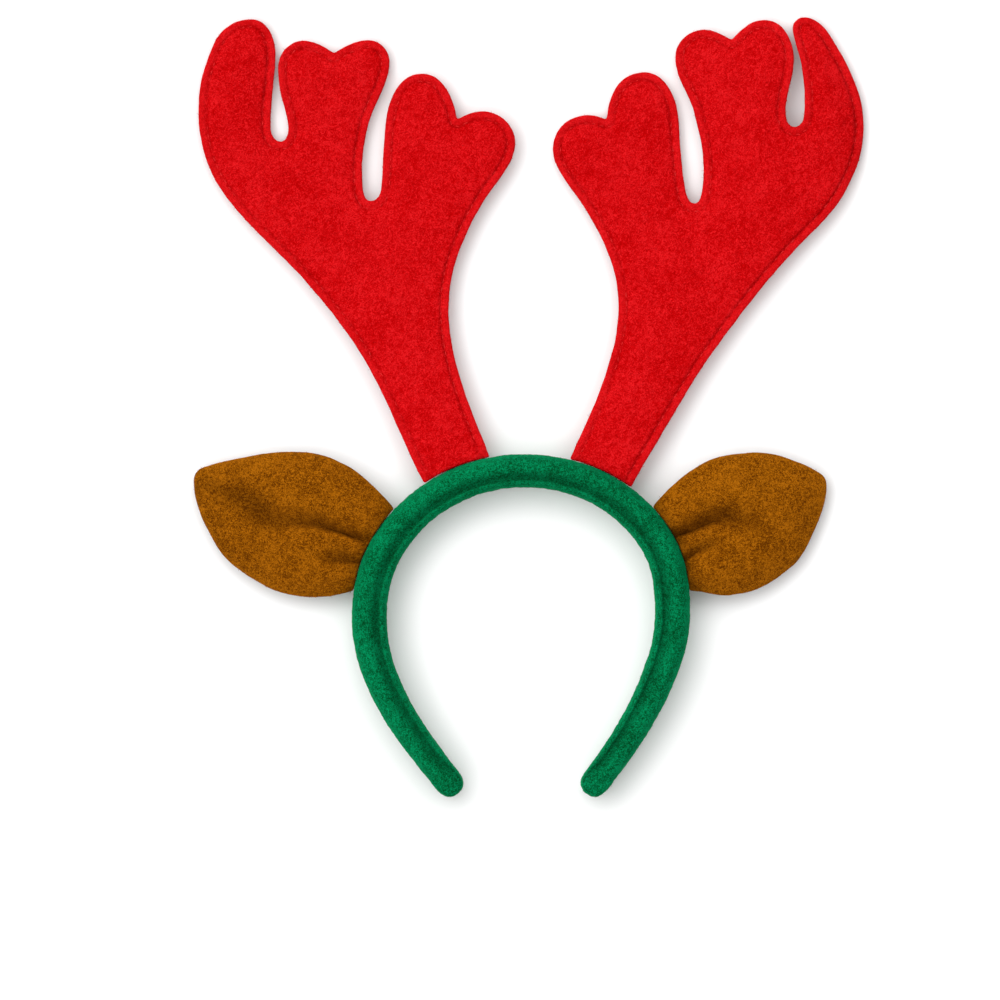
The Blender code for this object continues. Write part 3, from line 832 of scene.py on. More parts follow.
@dataclass
class PlanFelt(PaddedPiece):
    """A flat felt piece, meshed in rows that follow its rim.

    Even small faces would close the narrow slots between the tines, so these pieces get a net of
    their own: rows along the outline, a grid inside them, and the heights of the solids.
    """

    rim_step: float = 1.9 * MM
    grid_step: float = 2.0 * MM
    rows: tuple[float, ...] = (0.7 * MM, 2.0 * MM, 2.9 * MM, 3.4 * MM, 3.9 * MM, 5.2 * MM)
    row_spacing: float = 0.5
    grid_margin: float = 0.6
    line_margin: float = 0.4
    line_spacing: float = 0.7
    closing: float = 0.0
    edge_thickness: float = 2.7 * MM
    edge_round: float = 0.30 * MM
    edge_rows: tuple[Pair, ...] = ((0.30, 0.12 * MM), (0.50, -0.28 * MM), (0.70, 0.12 * MM))
    facet_margin: Pair = (1.0 * MM, 2.5 * MM)
    pin_margin: Pair = (1.0 * MM, 4.0 * MM)
    outline: Outline | None = None

    def depth_inside(self, points: np.ndarray, margin: Pair) -> np.ndarray:
        """Returns how far points lie inside the outline, as shares of the way through a margin."""
        return smooth_step(nearest(points, self.outline.curve)[1], *margin)

    def facet_weights(self, points: np.ndarray) -> np.ndarray:
        """Returns full smoothing inside the rim and none at it."""
        return self.depth_inside(points, self.facet_margin)

    def pins(self, points: np.ndarray) -> np.ndarray:
        """Holds the rim, and with it the root that is sewn to the band."""
        return 1.0 - self.depth_inside(points, self.pin_margin)

    def cut(self, frame: dict) -> None:
        """Makes the piece as a net of rows over the solids' form.

        Args:
            frame: The loaded frame.
        """
        self.outline = Outline(frame["nodes"][self.nodes[0]], OUTLINE_STEP)
        self.read_lines(frame)
        plan, triangles = self.plan_net(Outline(frame["nodes"][self.nodes[0]], self.rim_step))
        points, faces = self.raise_net(frame, plan, triangles)
        mesh = bpy.data.meshes.new(self.name)
        mesh.from_pydata(points.tolist(), [], faces)
        self.obj = add_object(self.name, mesh)
        self.round_facets()

    def plan_net(self, outline: Outline) -> tuple[np.ndarray, list[tuple[int, ...]]]:
        """Draws the net from above.

        Args:
            outline: The piece's outline, at the net's own spacing.

        Returns:
            The net's points and its triangles.
        """
        inner = []
        for distance in self.rows:
            row = outline.inset(distance)
            last = row[-1]
            for place in row:
                if np.linalg.norm(place - last) > self.row_spacing * self.rim_step:
                    inner.append(place)
                    last = place
        grid = outline.grid(self.grid_step, self.rows[-1] + self.grid_margin * self.grid_step)
        lines = self.line_places()
        if len(lines):
            lines = lines[outline.holds(lines)]
            margin = self.rows[-1] + self.line_margin * self.grid_step
            lines = lines[nearest(lines, outline.curve)[1] > margin]
            grid = grid[nearest(grid, lines)[1] > self.line_spacing * self.grid_step]
        inner.extend((*lines, *grid))
        flat = [Vector(place) for place in (*outline.curve.tolist(), *inner)]
        rim = list(range(len(outline.curve)))
        found = delaunay_2d_cdt(flat, [], [rim], 1, MERGE_DISTANCE)
        return np.array([(place.x, place.y) for place in found[0]]), [tuple(face) for face in found[2]]

    def line_places(self) -> np.ndarray:
        """Returns places on lines inside the piece that its net follows."""
        return np.empty((0, 2))

    def raise_net(self, frame: dict, plan: np.ndarray,
                  triangles: list[tuple[int, ...]]) -> tuple[np.ndarray, list[tuple[int, ...]]]:
        """Gives the net its upper and lower sides and a rounded edge between them.

        Args:
            frame: The loaded frame.
            plan: The net's points from above.
            triangles: The net's triangles.

        Returns:
            The mesh's points and faces.
        """
        index, _ = nearest(plan, self.outline.straight)
        rim_top = self.outline.straight[index, 2]
        top = self.heights(frame["nodes"][self.nodes[0]], plan, Face.FRONT, rim_top)
        bottom = self.heights(frame["nodes"][self.nodes[-1]], plan, Face.BACK,
                              rim_top - self.edge_thickness)
        edges = [(face[corner], face[(corner + 1) % 3]) for face in triangles for corner in range(3)]
        inner = set(edges)
        rim = [(start, end) for start, end in edges if (end, start) not in inner]
        on_rim = np.zeros(len(plan), bool)
        on_rim[[start for start, _ in rim]] = True
        top, bottom = top - self.closing, bottom + self.closing
        top[on_rim] -= self.edge_round
        bottom[on_rim] += self.edge_round
        outward = -self.outline.inward[index]
        layers = [np.column_stack((plan, top))]
        for share, bulge in self.edge_rows:
            layers.append(np.column_stack((plan + outward * bulge, top + (bottom - top) * share)))
        layers.append(np.column_stack((plan, bottom)))
        size, last = len(plan), (len(layers) - 1) * len(plan)
        faces = [*triangles, *(tuple(vert + last for vert in reversed(face)) for face in triangles)]
        for layer in range(len(layers) - 1):
            up, down = layer * size, (layer + 1) * size
            faces.extend((start + up, start + down, end + down, end + up) for start, end in rim)
        points = np.concatenate(layers)
        used = np.unique(np.concatenate([np.array(face) for face in faces]))
        renamed = np.zeros(len(points), int)
        renamed[used] = np.arange(len(used))
        return points[used], [tuple(renamed[list(face)].tolist()) for face in faces]

    def heights(self, node: bpy.types.Object, plan: np.ndarray, face: Face,
                rim_height: np.ndarray) -> np.ndarray:
        """Reads a solid's heights at the net's points.

        Args:
            node: The solid.
            plan: The net's points from above.
            face: Which side of the solid is read.
            rim_height: The height of the rim by each point, for where the solid is missed.

        Returns:
            The heights.
        """
        tree = BVHTree.FromObject(node, bpy.context.evaluated_depsgraph_get())
        heights = rim_height.copy()
        for number, place in enumerate(plan.tolist()):
            start = Vector((*place, face.value * REACH))
            hit = tree.ray_cast(start, Vector((0.0, 0.0, -face.value)))[0]
            if hit is not None:
                heights[number] = hit.z
        return heights


@dataclass
class Antler(PlanFelt):
    """A stuffed antler: two felt panels sewn together a little inside their rim."""

    finish: FeltFinish = RED
    swell: float = 0.9 * MM
    closing: float = 0.2 * MM
    flange_width: float = 3.4 * MM
    flange_fade: Pair = (2.1 * MM, 3.1 * MM)
    facet_margin: Pair = (1.4 * MM, 4.0 * MM)
    pin_margin: Pair = (flange_width, flange_width + 2.5 * MM)
    root_reach: float = 1.0 * MM
    stitch_pitch: float = 3.6 * MM
    groove_width: float = 0.75 * MM
    groove_depth: float = 0.50 * MM
    pucker_reach: float = 1.3 * MM
    pucker_depth: float = 0.22 * MM
    flatness: Pair = (0.3, 0.7)
    joint_width: float = 0.35 * MM
    joint_reach: float = 1.0 * MM
    shadow_width: float = 0.5 * MM
    shadow_range: Pair = (0.25, 1.0)
    free: np.ndarray | None = None
    stitch_places: np.ndarray | None = None
    stitch_headings: np.ndarray | None = None

    def read_lines(self, frame: dict) -> None:
        """Reads the stretch of the outline that isn't sewn to the band, and the stitches' places.

        Args:
            frame: The loaded frame.
        """
        band = Outline(frame["nodes"]["band_outer"], OUTLINE_STEP).straight
        self.free = nearest(self.outline.straight, band)[1] > self.root_reach
        line = self.outline.inset(self.flange_width, self.free)
        line = line[nearest(line, band)[1] > self.root_reach]
        self.stitch_places, self.stitch_headings = stations(line, self.stitch_pitch)

    def rim_distance(self, points: np.ndarray) -> np.ndarray:
        """Returns how far points are from the antler's free rim, seen from above."""
        return nearest(points, self.outline.curve[self.free])[1]

    def sew(self) -> None:
        """Presses in the stitched groove, deeper at each stitch, and paints shade in it and a highlight on
        the rim outside it.
        """
        points = read_points(self.obj)
        normals = read_normals(self.obj)
        flat = smooth_step(np.abs(normals[:, 2]), *self.flatness)
        index, edge = nearest(points, self.outline.straight)
        rim = self.rim_distance(points)
        groove = hump(rim - self.flange_width, self.groove_width) * flat
        pucker = hump(nearest(points, self.stitch_places)[1], self.pucker_reach) * flat
        joint_height = self.outline.straight[index, 2] - self.edge_thickness / 2.0
        # Painted shade in the little groove on the side where the two panels meet.
        joint_shade = hump(points[:, 2] - joint_height, self.joint_width) * (1.0 - flat) * (edge < self.joint_reach)
        sunk = groove * self.groove_depth + pucker * self.pucker_depth
        write_points(self.obj, points - normals * sunk[:, None])
        # Painted shade along the stitched groove, of a random strength by each stitch.
        shadows = np.random.default_rng(0).uniform(*self.shadow_range, len(self.stitch_places))
        shadow = shadows[nearest(points, self.stitch_places)[0]]
        self.crease = np.maximum(hump(rim - self.flange_width, self.shadow_width) * flat * shadow, joint_shade)
        # Painted highlight on the upward faces of the strip outside the stitches, fading inwards.
        self.flange = (1.0 - smooth_step(rim, *self.flange_fade)) * flat


@dataclass
class Ear(PlanFelt):
    """One ear: thick felt, pinched where it is sewn to the band."""

    finish: FeltFinish = BROWN
    folds: tuple[Fold, ...] = ()
    rim_step: float = 1.6 * MM
    grid_step: float = 1.5 * MM
    rows: tuple[float, ...] = (0.7 * MM, 1.8 * MM)
    edge_thickness: float = 2.0 * MM
    edge_rows: tuple[Pair, ...] = ((0.30, 0.22 * MM), (0.70, 0.22 * MM))
    swell: float = 0.5 * MM
    fill: float = 0.2
    facet_rounds: int = 14
    lump_depth: float = 0.55 * MM
    upper_slope: float = 1.9
    lower_slope: float = 0.6
    even_slope: float = 1.1
    pinched_width: float = 1.8 * MM
    loose_width: float = 3.6 * MM
    lift: Pair = (1.0 * MM, 5.0 * MM)
    fold_pitch: float = 1.1 * MM
    fold_rows: tuple[float, ...] = (-1.0 * MM, -0.35 * MM, 0.1 * MM, 0.6 * MM, 1.4 * MM)
    fold_steps: int = 40
    fold_shade: float = 0.66
    shade_reach: float = 1.25
    shade_depth: float = 1.5 * MM
    line_width: float = 0.45 * MM
    line_start: float = 1.1 * MM
    line_depth: float = 0.6 * MM
    root_shade: float = 0.4
    root_reach: float = 4.5 * MM
    rim_light: float = 0.6
    rim_fade: Pair = (0.2 * MM, 2.0 * MM)
    band: np.ndarray | None = None

    def read_lines(self, frame: dict) -> None:
        """Reads the band's outline, which the ear disappears under."""
        self.band = Outline(frame["nodes"]["band_outer"], OUTLINE_STEP).curve

    def fold_lines(self) -> list[np.ndarray]:
        """Draws the folds.

        Returns:
            Each fold as close rows of place, width and depth, in metres.
        """
        low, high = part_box(self.nodes[0])
        size = high - low
        lines = []
        for rows in self.folds:
            knots = np.array([(low.x + across * size.x, low.y + up * size.y, width * MM, depth * MM)
                              for across, up, width, depth in rows])
            share = np.linspace(0.0, len(knots) - 1.0, self.fold_steps * len(knots))
            lines.append(np.stack([np.interp(share, np.arange(len(knots)), column)
                                   for column in knots.T], axis=1))
        return lines

    def line_places(self) -> np.ndarray:
        """Lays rows of places along and beside the folds.

        Returns:
            The places.
        """
        places = []
        for line in self.fold_lines():
            middle, heading = stations(line[:, :2], self.fold_pitch)
            across = np.stack((-heading[:, 1], heading[:, 0]), axis=1)
            across *= np.sign(across[:, 1:])
            places.extend(middle + across * side for side in self.fold_rows)
        return np.concatenate(places)

    def sew(self) -> None:
        """Presses the folds in; where they are pinched they are gentle above and steep below. Paints shade in
        the folds and next to the band, and a highlight round the rim.
        """
        points = read_points(self.obj)
        lifted = smooth_step(points[:, 2], *self.lift)
        # Painted shadow of the band, falling on the ear beside it.
        self.crease = self.root_shade * hump(nearest(points, self.band)[1], self.root_reach)
        for line in self.fold_lines():
            index, away = nearest(points, line)
            width, depth = line[index, 2], line[index, 3]
            slope = np.where(points[:, 1] > line[index, 1], self.upper_slope, self.lower_slope)
            loose = smooth_step(width, self.pinched_width, self.loose_width)
            slope = slope * (1.0 - loose) + self.even_slope * loose
            fold = hump(away, slope * width)
            points[:, 2] -= fold * depth * lifted
            # Painted shade in each fold, with a darker painted line where the fold is pinched deep.
            shade = self.fold_shade * hump(away, self.shade_reach * slope * width)
            shade *= np.clip(depth / self.shade_depth, 0.0, 1.0)
            line_shade = hump(away, self.line_width)
            line_shade *= np.clip((depth - self.line_start) / self.line_depth, 0.0, 1.0)
            self.crease = np.maximum(self.crease, np.maximum(shade, line_shade))
        write_points(self.obj, points)
        # Painted highlight round the ear's rim.
        self.flange = self.rim_light * (1.0 - self.depth_inside(points, self.rim_fade))


@dataclass
class Band(PaddedPiece):
    """The band: a stuffed roll and its narrow facing, sewn together along a sunken seam."""

    finish: FeltFinish = GREEN
    fill: float = 0.7
    swell: float = 0.2 * MM
    facet_rounds: int = 6
    smooths_across: bool = True
    lump_depth: float = 0.45 * MM
    nub_depth: float = 0.5 * MM
    joint_reach: float = 1.2 * MM
    seam_side: float = 0.7 * MM
    seam_widths: Pair = (3.0 * MM, 1.3 * MM)
    seam_depth: float = 1.7 * MM
    seam_shade: float = 0.85
    seam_margin: Pair = (0.4 * MM, 2.5 * MM)
    table_margin: Pair = (0.2 * MM, 2.5 * MM)
    fold_side: float = 1.9 * MM
    fold_width: float = 0.5 * MM
    fold_depth: float = 0.35 * MM
    fold_light: float = 0.35
    line_side: float = 0.6
    line_width: float = 0.35 * MM
    line_shade: float = 0.5
    side_height: float = 4.0 * MM
    tip_reach: float = 13.0 * MM
    tip_start: float = 0.1
    highlight_side_slopes: Pair = (0.10, 0.75)
    highlight_under_slopes: Pair = (-0.4, -0.1)
    seam: np.ndarray | None = None
    seam_strength: np.ndarray | None = None
    inward: np.ndarray | None = None

    def read_lines(self, frame: dict) -> None:
        """Reads the seam from both solids' outlines, and how it fades towards the band's tips.

        Args:
            frame: The loaded frame.
        """
        roll, facing = (Outline(frame["nodes"][node], OUTLINE_STEP) for node in self.nodes)
        index, away = nearest(roll.curve, facing.curve)
        beside = away < self.joint_reach
        self.inward = -roll.inward[beside]
        self.seam = (roll.curve[beside] + facing.curve[index[beside]]) / 2.0
        above = self.seam[:, 1] - self.seam[:, 1].min()
        self.seam_strength = smooth_step(above, self.tip_start * self.tip_reach, self.tip_reach)

    def seam_distance(self, points: np.ndarray) -> tuple[np.ndarray, np.ndarray]:
        """Measures points from the seam.

        Args:
            points: The points.

        Returns:
            How far each lies towards the facing, and the seam's strength there.
        """
        index, _ = nearest(points, self.seam)
        across = np.sum((points[:, :2] - self.seam[index]) * self.inward[index], axis=1)
        return across, self.seam_strength[index]

    def pins(self, points: np.ndarray) -> np.ndarray:
        """Holds the seam and what lies on the table.

        Args:
            points: The points of the net.

        Returns:
            How firmly each point is held, from 0 to 1.
        """
        seam = 1.0 - smooth_step(np.abs(self.seam_distance(points)[0]), *self.seam_margin)
        table = 1.0 - smooth_step(points[:, 2], *self.table_margin)
        return np.maximum(seam, table)

    def sew(self) -> None:
        """Sinks the felt along the seam, with a small fold beside it, and paints shade in the seam and
        highlights on the fold and the band's sides.
        """
        points = read_points(self.obj)
        across, strength = self.seam_distance(points)
        middle = (points[:, 2].min() + points[:, 2].max()) / 2.0
        side = np.clip((points[:, 2] - middle) / self.side_height, -1.0, 1.0)
        beyond = across - self.seam_side
        valley = hump(beyond, np.where(beyond < 0.0, *self.seam_widths))
        fold = hump(across - self.fold_side, self.fold_width)
        points[:, 2] -= (valley * self.seam_depth - fold * self.fold_depth) * side * strength
        write_points(self.obj, points)
        # Painted shade in the seam's valley and a painted dark line beside it, on the upper side only.
        top = np.clip(side, 0.0, 1.0) * strength
        line = hump(across - self.line_side * self.fold_side, self.line_width)
        self.crease = (self.seam_shade * valley + self.line_shade * line) * top
        # Painted highlight on the fold's ridge and where the band's sides face sideways.
        upward = read_normals(self.obj)[:, 2]
        edge = (1.0 - smooth_step(upward, *self.highlight_side_slopes)) * smooth_step(upward, *self.highlight_under_slopes)
        self.flange = np.maximum(self.fold_light * fold * top, edge)

    def part(self) -> dict[bpy.types.Object, tuple[str, ...]]:
        """Parts the facing from the roll along the seam.

        Returns:
            The roll and the facing, and the solids that each stands for.
        """
        mesh = self.obj.data
        across, _ = self.seam_distance(read_rows(mesh.polygons, "center"))
        make_active(self.obj)
        bpy.ops.object.mode_set(mode="EDIT")
        bpy.ops.mesh.select_mode(type="FACE")
        bpy.ops.mesh.select_all(action="DESELECT")
        bpy.ops.object.mode_set(mode="OBJECT")
        mesh.polygons.foreach_set("select", across > 0.0)
        bpy.ops.object.mode_set(mode="EDIT")
        bpy.ops.mesh.separate(type="SELECTED")
        bpy.ops.mesh.select_mode(type="VERT")
        bpy.ops.object.mode_set(mode="OBJECT")
        facing = next(obj for obj in bpy.context.selected_objects if obj is not self.obj)
        facing.name = "band_facing"
        return {self.obj: self.nodes[:1], facing: self.nodes[1:]}


def stations(line: np.ndarray, pitch: float) -> tuple[np.ndarray, np.ndarray]:
    """Spaces places evenly along a line, and leaves out its gaps.

    Args:
        line: The line's close points.
        pitch: The distance between two places.

    Returns:
        The places and the line's headings there.
    """
    steps = np.linalg.norm(np.diff(line, axis=0), axis=1)
    apart = np.where(steps > GAP_PITCHES * pitch, 0.0, steps)
    lengths = np.concatenate(([0.0], np.cumsum(apart)))
    count = max(2, round(lengths[-1] / pitch))
    wanted = (np.arange(count) + 0.5) * lengths[-1] / count
    places, ahead = (np.stack([np.interp(spots, lengths, line[:, axis]) for axis in (0, 1)], axis=1)
                     for spots in (wanted, wanted + HEADING_PITCHES * pitch))
    return places, unit(ahead - places)


def turns_of(x_axis: np.ndarray, y_axis: np.ndarray, z_axis: np.ndarray) -> np.ndarray:
    """Finds how copies are turned from the world's axes.

    Args:
        x_axis: Each copy's own X axis.
        y_axis: Its Y axis.
        z_axis: Its Z axis.

    Returns:
        The Euler angles of each copy.
    """
    about_x = np.arctan2(y_axis[:, 2], z_axis[:, 2])
    about_y = np.arctan2(-x_axis[:, 2], np.hypot(x_axis[:, 0], x_axis[:, 1]))
    about_z = np.arctan2(x_axis[:, 1], x_axis[:, 0])
    return np.stack((about_x, about_y, about_z), axis=1)


def strew_tree(pattern: bpy.types.Object) -> bpy.types.NodeTree:
    """Builds the geometry nodes that put a copy of a pattern on each vertex.

    Args:
        pattern: The object to copy.

    Returns:
        The node tree, which reads each copy's turn and size from attributes.
    """
    tree = bpy.data.node_groups.new(f"strew_{pattern.name}", "GeometryNodeTree")
    for way in ("INPUT", "OUTPUT"):
        tree.interface.new_socket("Geometry", in_out=way, socket_type="NodeSocketGeometry")
    desk = NodeDesk(tree)
    start, end = desk.add("NodeGroupInput"), desk.add("NodeGroupOutput")
    info = desk.add("GeometryNodeObjectInfo")
    turn, size = (desk.add("GeometryNodeInputNamedAttribute", data_type=kind)
                  for kind in ("FLOAT_VECTOR", "FLOAT"))
    euler = desk.add("FunctionNodeEulerToRotation")
    copy = desk.add("GeometryNodeInstanceOnPoints")
    whole = desk.add("GeometryNodeRealizeInstances")
    desk.feed(info, Object=pattern)
    desk.feed(turn, Name="turn")
    desk.feed(size, Name="size")
    desk.feed(euler, Euler=turn.outputs["Attribute"])
    desk.feed(copy, Points=start.outputs["Geometry"], Instance=info.outputs["Geometry"],
              Rotation=euler.outputs["Rotation"], Scale=size.outputs["Attribute"])
    desk.feed(whole, Geometry=copy.outputs["Instances"])
    desk.feed(end, Geometry=whole.outputs["Geometry"])
    return tree


@dataclass
class Strewing:
    """Where the copies of a small pattern go, how each is turned, and its size as a share."""

    places: np.ndarray
    turns: np.ndarray
    sizes: np.ndarray

    def build(self, name: str, slot: Slot, pattern: bpy.types.Object) -> bpy.types.Object:
        """Copies the pattern as one mesh that rides on the frame, and removes the pattern.

        Args:
            name: The new piece's name.
            slot: Not used.
            pattern: The object to copy.

        Returns:
            The new piece.
        """
        mesh = bpy.data.meshes.new(name)
        mesh.from_pydata(self.places.tolist(), [], [])
        obj = add_object(name, mesh)
        turn = mesh.attributes.new("turn", "FLOAT_VECTOR", "POINT")
        turn.data.foreach_set("vector", self.turns.astype(np.float32).ravel())
        write_attribute(obj, "size", self.sizes)
        apply_modifier(obj, "NODES", node_group=strew_tree(pattern))
        bpy.data.objects.remove(pattern)
        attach(obj, "root")
        log.info("%s: %d copies", name, len(self.places))
        return obj


@dataclass
class Stitches:
    """The running stitches along an antler's groove, on both of its faces."""

    antler: Antler
    length: float = 2.1 * MM
    width: float = 0.42 * MM
    height: float = 0.36 * MM
    sides: int = 6
    rings: int = 5
    wobble: float = math.radians(8.0)
    sunk_share: float = 0.35
    lift: float = 0.12
    size_spread: float = 0.28
    reach: float = 50.0 * MM
    seed: int = 7

    def pattern(self) -> bpy.types.Object:
        """Models one stitch along X, thick in its middle and tapered into the felt.

        Returns:
            The stitch.
        """
        bpy.ops.object.select_all(action="DESELECT")
        bpy.ops.mesh.primitive_uv_sphere_add(segments=self.sides, ring_count=self.rings, radius=0.5)
        stitch = bpy.context.active_object
        stitch.rotation_euler.y = math.pi / 2.0
        bpy.ops.object.transform_apply()
        stitch.scale = (self.length, self.width, self.height)
        bpy.ops.object.transform_apply()
        bpy.ops.object.shade_smooth()
        stitch.data.materials.append(RED_THREAD.material())
        return stitch

    def build(self) -> bpy.types.Object:
        """Lays the stitches in the groove.

        Returns:
            The stitches as one piece.
        """
        tree = BVHTree.FromObject(self.antler.obj, bpy.context.evaluated_depsgraph_get())
        chance = np.random.default_rng(self.seed)
        places, axes = [], []
        for face in Face:
            down = Vector((0.0, 0.0, -face.value))
            for place, heading in zip(self.antler.stitch_places, self.antler.stitch_headings):
                hit, normal, _, _ = tree.ray_cast(Vector((*place, self.reach * face.value)), down)
                if hit is None or chance.uniform() < self.sunk_share:
                    continue
                angle = chance.normal(0.0, self.wobble)
                along = np.array((heading[0] * math.cos(angle) - heading[1] * math.sin(angle),
                                  heading[0] * math.sin(angle) + heading[1] * math.cos(angle), 0.0))
                up = np.array(normal)
                across = np.cross(up, along)
                across /= np.linalg.norm(across)
                places.append(np.array(hit) + up * self.lift * self.height)
                axes.append((np.cross(across, up), across, up))
        turns = turns_of(*np.array(axes).swapaxes(0, 1))
        sizes = 1.0 + self.size_spread * chance.uniform(-1.0, 1.0, len(places))
        name = self.antler.name.replace("_felt", "_stitches")
        return Strewing(np.array(places), turns, sizes).build(name, self.antler.finish.slot, self.pattern())


@dataclass
class Nap:
    """The matted flecks and loose fibre tips on a felt shell."""

    shell: bpy.types.Object
    slot: Slot
    seed: int
    density: float = 0.20 / MM**2
    length: float = 1.5 * MM
    slimness: float = 0.075
    bend: float = 0.14
    rise_shape: float = 2.0
    rise_scale: float = 3.5
    rise_range: Pair = (0.02, 0.9)
    size_range: Pair = (0.5, 1.3)
    painted_sheen: float = 2.0

    def pattern(self) -> bpy.types.Object:
        """Models one bent fleck along Z.

        Returns:
            The fleck.
        """
        bpy.ops.object.select_all(action="DESELECT")
        bpy.ops.mesh.primitive_cone_add(vertices=3, radius1=self.slimness * self.length, radius2=0.0,
                                        depth=self.length, location=(0.0, 0.0, self.length / 2.0))
        bpy.ops.object.transform_apply()
        fleck = bpy.context.active_object
        bpy.ops.object.mode_set(mode="EDIT")
        bpy.ops.mesh.select_all(action="SELECT")
        bpy.ops.mesh.bisect(plane_co=(0.0, 0.0, self.length / 2.0), plane_no=(0.0, 0.0, 1.0))
        bpy.ops.transform.translate(value=(self.bend * self.length, 0.0, 0.0))
        bpy.ops.object.mode_set(mode="OBJECT")
        fleck.data.materials.append(self.shell.data.materials[0])
        return fleck

    def build(self) -> bpy.types.Object:
        """Lays the flecks all over the shell.

        Returns:
            The flecks as one piece.
        """
        mesh = self.shell.data
        mesh.calc_loop_triangles()
        corners = read_rows(mesh.loop_triangles, "vertices", np.int32)
        points, normals = read_points(self.shell), read_normals(self.shell)
        first, second, third = (points[corners[:, column]] for column in range(3))
        area = np.linalg.norm(np.cross(second - first, third - first), axis=1) / 2.0
        count = round(self.density * area.sum())
        chance = np.random.default_rng(self.seed)
        chosen = chance.choice(len(area), count, p=area / area.sum())
        one, two = chance.uniform(size=(2, count))
        over = one + two > 1.0
        one, two = np.where(over, 1.0 - one, one), np.where(over, 1.0 - two, two)
        places = first[chosen] + one[:, None] * (second - first)[chosen]
        places += two[:, None] * (third - first)[chosen]
        up = unit(normals[corners[chosen, 0]])
        flow = unit(np.cross(up, unit(chance.normal(size=(count, 3)))))
        rise = np.radians(chance.gamma(self.rise_shape, self.rise_scale, count))
        rise = rise.clip(*self.rise_range)[:, None]
        z_axis = flow * np.cos(rise) + up * np.sin(rise)
        y_axis = unit(np.cross(up, flow))
        x_axis = np.cross(y_axis, z_axis)
        turns = turns_of(x_axis, y_axis, z_axis)
        sizes = chance.uniform(*self.size_range, count)
        clear = places[:, 2] + np.minimum(z_axis[:, 2], 0.0) * self.length * sizes > TABLE_CLEARANCE
        name = self.shell.name.replace("_felt", "") + "_nap"
        strewing = Strewing(places[clear], turns[clear], sizes[clear])
        obj = strewing.build(name, self.slot, self.pattern())
        # Painted sheen: the flecks are lightened towards the felt's light colour.
        write_attribute(obj, "flange", np.full(len(obj.data.vertices), self.painted_sheen))
        return obj


@dataclass(frozen=True)
class Stuffing:
    """What swells the felt: Blender's cloth under an even pressure, for all pieces at once."""

    pressure: float = 4.0
    frames: int = 20
    quality: int = 4

    def inflate(self, pieces: list[PaddedPiece]) -> None:
        """Swells the pieces and holds each point within its piece's own cap.

        Args:
            pieces: The pieces, already cut.
        """
        starts = []
        for piece in pieces:
            points = read_points(piece.obj)
            starts.append(points)
            pinned = weigh(piece.obj, "pinned", piece.pins(points))
            cloth = piece.obj.modifiers.new("stuffing", "CLOTH")
            cloth.settings.vertex_group_mass = pinned
            cloth.settings.use_pressure = True
            cloth.settings.uniform_pressure_force = self.pressure
            cloth.settings.quality = self.quality
            cloth.settings.effector_weights.gravity = 0.0
            cloth.point_cache.frame_end = self.frames
        for number in range(1, self.frames + 1):
            bpy.context.scene.frame_set(number)
        for piece, start in zip(pieces, starts):
            make_active(piece.obj)
            bpy.ops.object.modifier_apply(modifier="stuffing")
            piece.obj.vertex_groups.clear()
            move = read_points(piece.obj) - start
            length = np.linalg.norm(move, axis=1)
            kept = np.minimum(1.0, piece.swell / np.maximum(length, MERGE_DISTANCE))
            write_points(piece.obj, start + move * kept[:, None])
            log.info("%s: swelled by up to %.2f mm", piece.name, length.max() / MM)
        bpy.context.scene.frame_set(1)


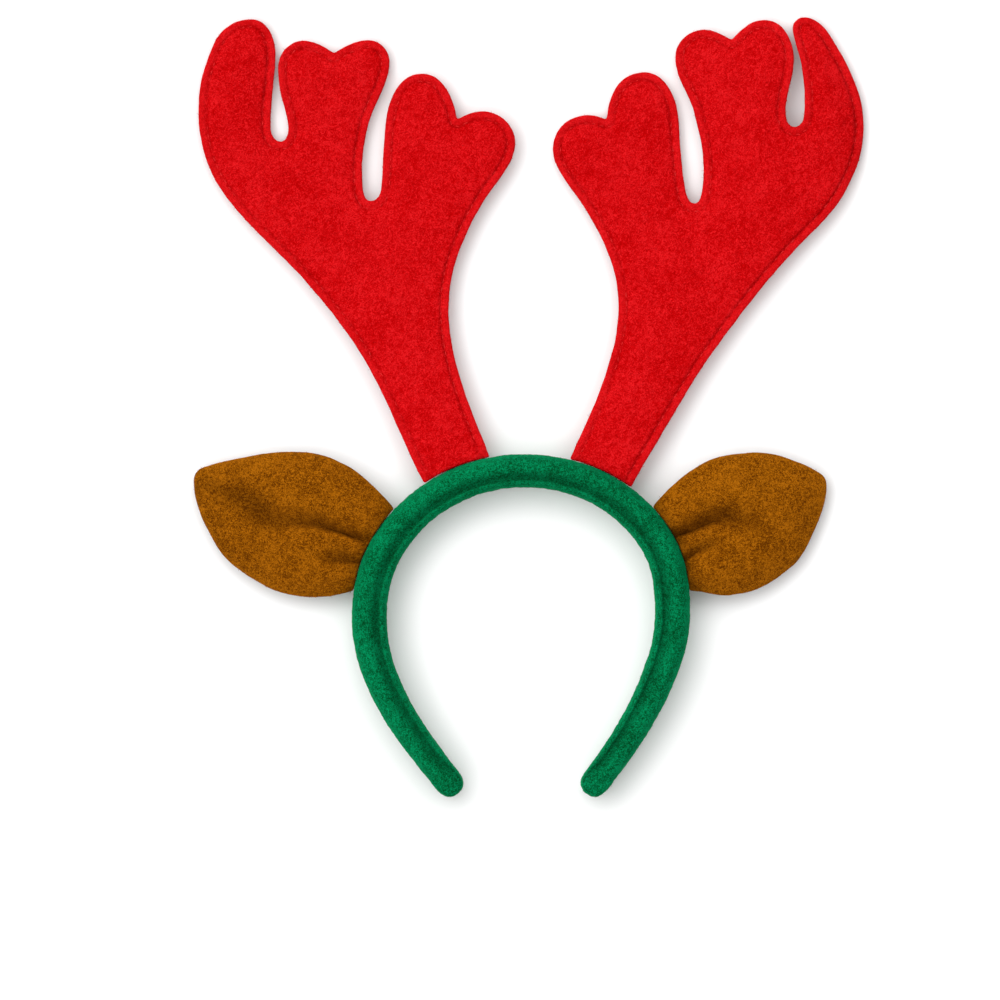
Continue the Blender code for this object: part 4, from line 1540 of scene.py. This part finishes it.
@dataclass(frozen=True)
class Studio:
    """The pale table, the soft light and the camera that looks straight down."""

    view_width: float = 444.1 * MM
    view_middle: Pair = (-12.9 * MM, -41.3 * MM)
    view_height: float = 10.0 * MM
    camera_distance: float = 5.0
    sensor: float = 36.0
    table_size: float = 6.0
    table_gray: float = 0.90
    table_evenness: float = 0.998
    table_grain: float = 40.0 * MM
    table_roughness: float = 0.9
    sky: float = 2.1
    sky_stops: tuple[Pair, ...] = ((0.35, 0.10), (0.60, 1.0), (0.82, 1.0), (0.93, 0.30))
    sky_bias: float = 0.78
    key: float = 0.25
    key_softness: float = math.radians(40.0)
    key_elevation: float = math.radians(52.0)
    key_heading: float = math.radians(140.0)
    clip_start: float = 0.01
    clip_end: float = 20.0

    def build(self) -> None:
        """Adds the table, lights and camera."""
        self.add_table()
        self.add_light()
        self.add_camera()

    def add_table(self) -> None:
        """Lays the table top at the height the headband rests on."""
        bpy.ops.object.select_all(action="DESELECT")
        bpy.ops.mesh.primitive_plane_add(size=self.table_size)
        table = bpy.context.active_object
        table.name = "table_top"
        desk = FinishDesk("white_table")
        grays = ((self.table_gray * self.table_evenness,) * 3, (self.table_gray,) * 3)
        color = desk.ramp(desk.noise(self.table_grain, 2.0), tuple(zip(NOISE_RANGE, grays)))
        desk.feed(desk.shader, Base_Color=color, Roughness=self.table_roughness, Specular_IOR_Level=0.0)
        table.data.materials.append(desk.material)

    def add_light(self) -> None:
        """Adds a ring of soft white light that is stronger to the upper left, and a weak key there."""
        scene = bpy.context.scene
        scene.world = bpy.data.worlds.new("studio")
        scene.world.use_nodes = True
        across = math.cos(self.key_elevation)
        level = Vector((math.cos(self.key_heading), math.sin(self.key_heading), 0.0))
        towards = level * across + Vector((0.0, 0.0, math.sin(self.key_elevation)))
        desk = NodeDesk(scene.world.node_tree)
        direction = desk.add("ShaderNodeTexCoord").outputs["Generated"]
        height = desk.add("ShaderNodeSeparateXYZ")
        desk.fill(height.inputs[0], direction)
        ring = desk.ramp(height.outputs["Z"], tuple((place, (share,) * 3) for place, share in self.sky_stops))
        side = desk.add("ShaderNodeVectorMath", operation="DOT_PRODUCT")
        desk.fill(side.inputs[0], direction)
        desk.fill(side.inputs[1], level * self.sky_bias)
        gain = desk.math("MULTIPLY_ADD", side.outputs["Value"], self.sky, self.sky)
        desk.feed(desk.tree.nodes["Background"], Color=(1.0, 1.0, 1.0, 1.0),
                  Strength=desk.math("MULTIPLY", gain, ring))
        scene.view_settings.view_transform = "Standard"
        turn = towards.to_track_quat("Z", "Y").to_euler()
        bpy.ops.object.light_add(type="SUN", location=towards, rotation=turn)
        key = bpy.context.active_object
        key.name = "key_light"
        key.data.energy = self.key
        key.data.angle = self.key_softness

    def add_camera(self) -> None:
        """Hangs the camera over the middle of the view."""
        place = (*self.view_middle, self.view_height + self.camera_distance)
        bpy.ops.object.camera_add(location=place, rotation=(0.0, 0.0, 0.0))
        camera = bpy.context.active_object
        camera.data.sensor_width = self.sensor
        camera.data.lens = self.sensor * self.camera_distance / self.view_width
        camera.data.clip_start = self.clip_start
        camera.data.clip_end = self.clip_end
        bpy.context.scene.camera = camera


def main() -> None:
    """Builds the dressed headband and its studio."""
    logging.basicConfig(level=logging.INFO, format="%(message)s")
    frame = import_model()
    Studio().build()
    antlers = [Antler(f"antler_{side.value}_felt", tuple(f"antler_{side.value}_{panel}" for panel in PANELS))
               for side in Side]
    ears = [Ear(f"ear_{side.value}_felt", (f"ear_{side.value}",), folds=EAR_FOLDS[side]) for side in Side]
    pieces = [*antlers, *ears, Band("band_roll", ("band_outer", "band_inner"))]
    for piece in pieces:
        piece.cut(frame)
    Stuffing().inflate(pieces)
    for piece in pieces:
        piece.shape()
        piece.dress()
    for antler in antlers:
        Stitches(antler).build()
    shells = [(shell, piece.finish.slot) for piece in pieces for shell in piece.shells]
    for seed, (shell, slot) in enumerate(shells):
        Nap(shell, slot, seed).build()


if __name__ == "__main__":
    main()
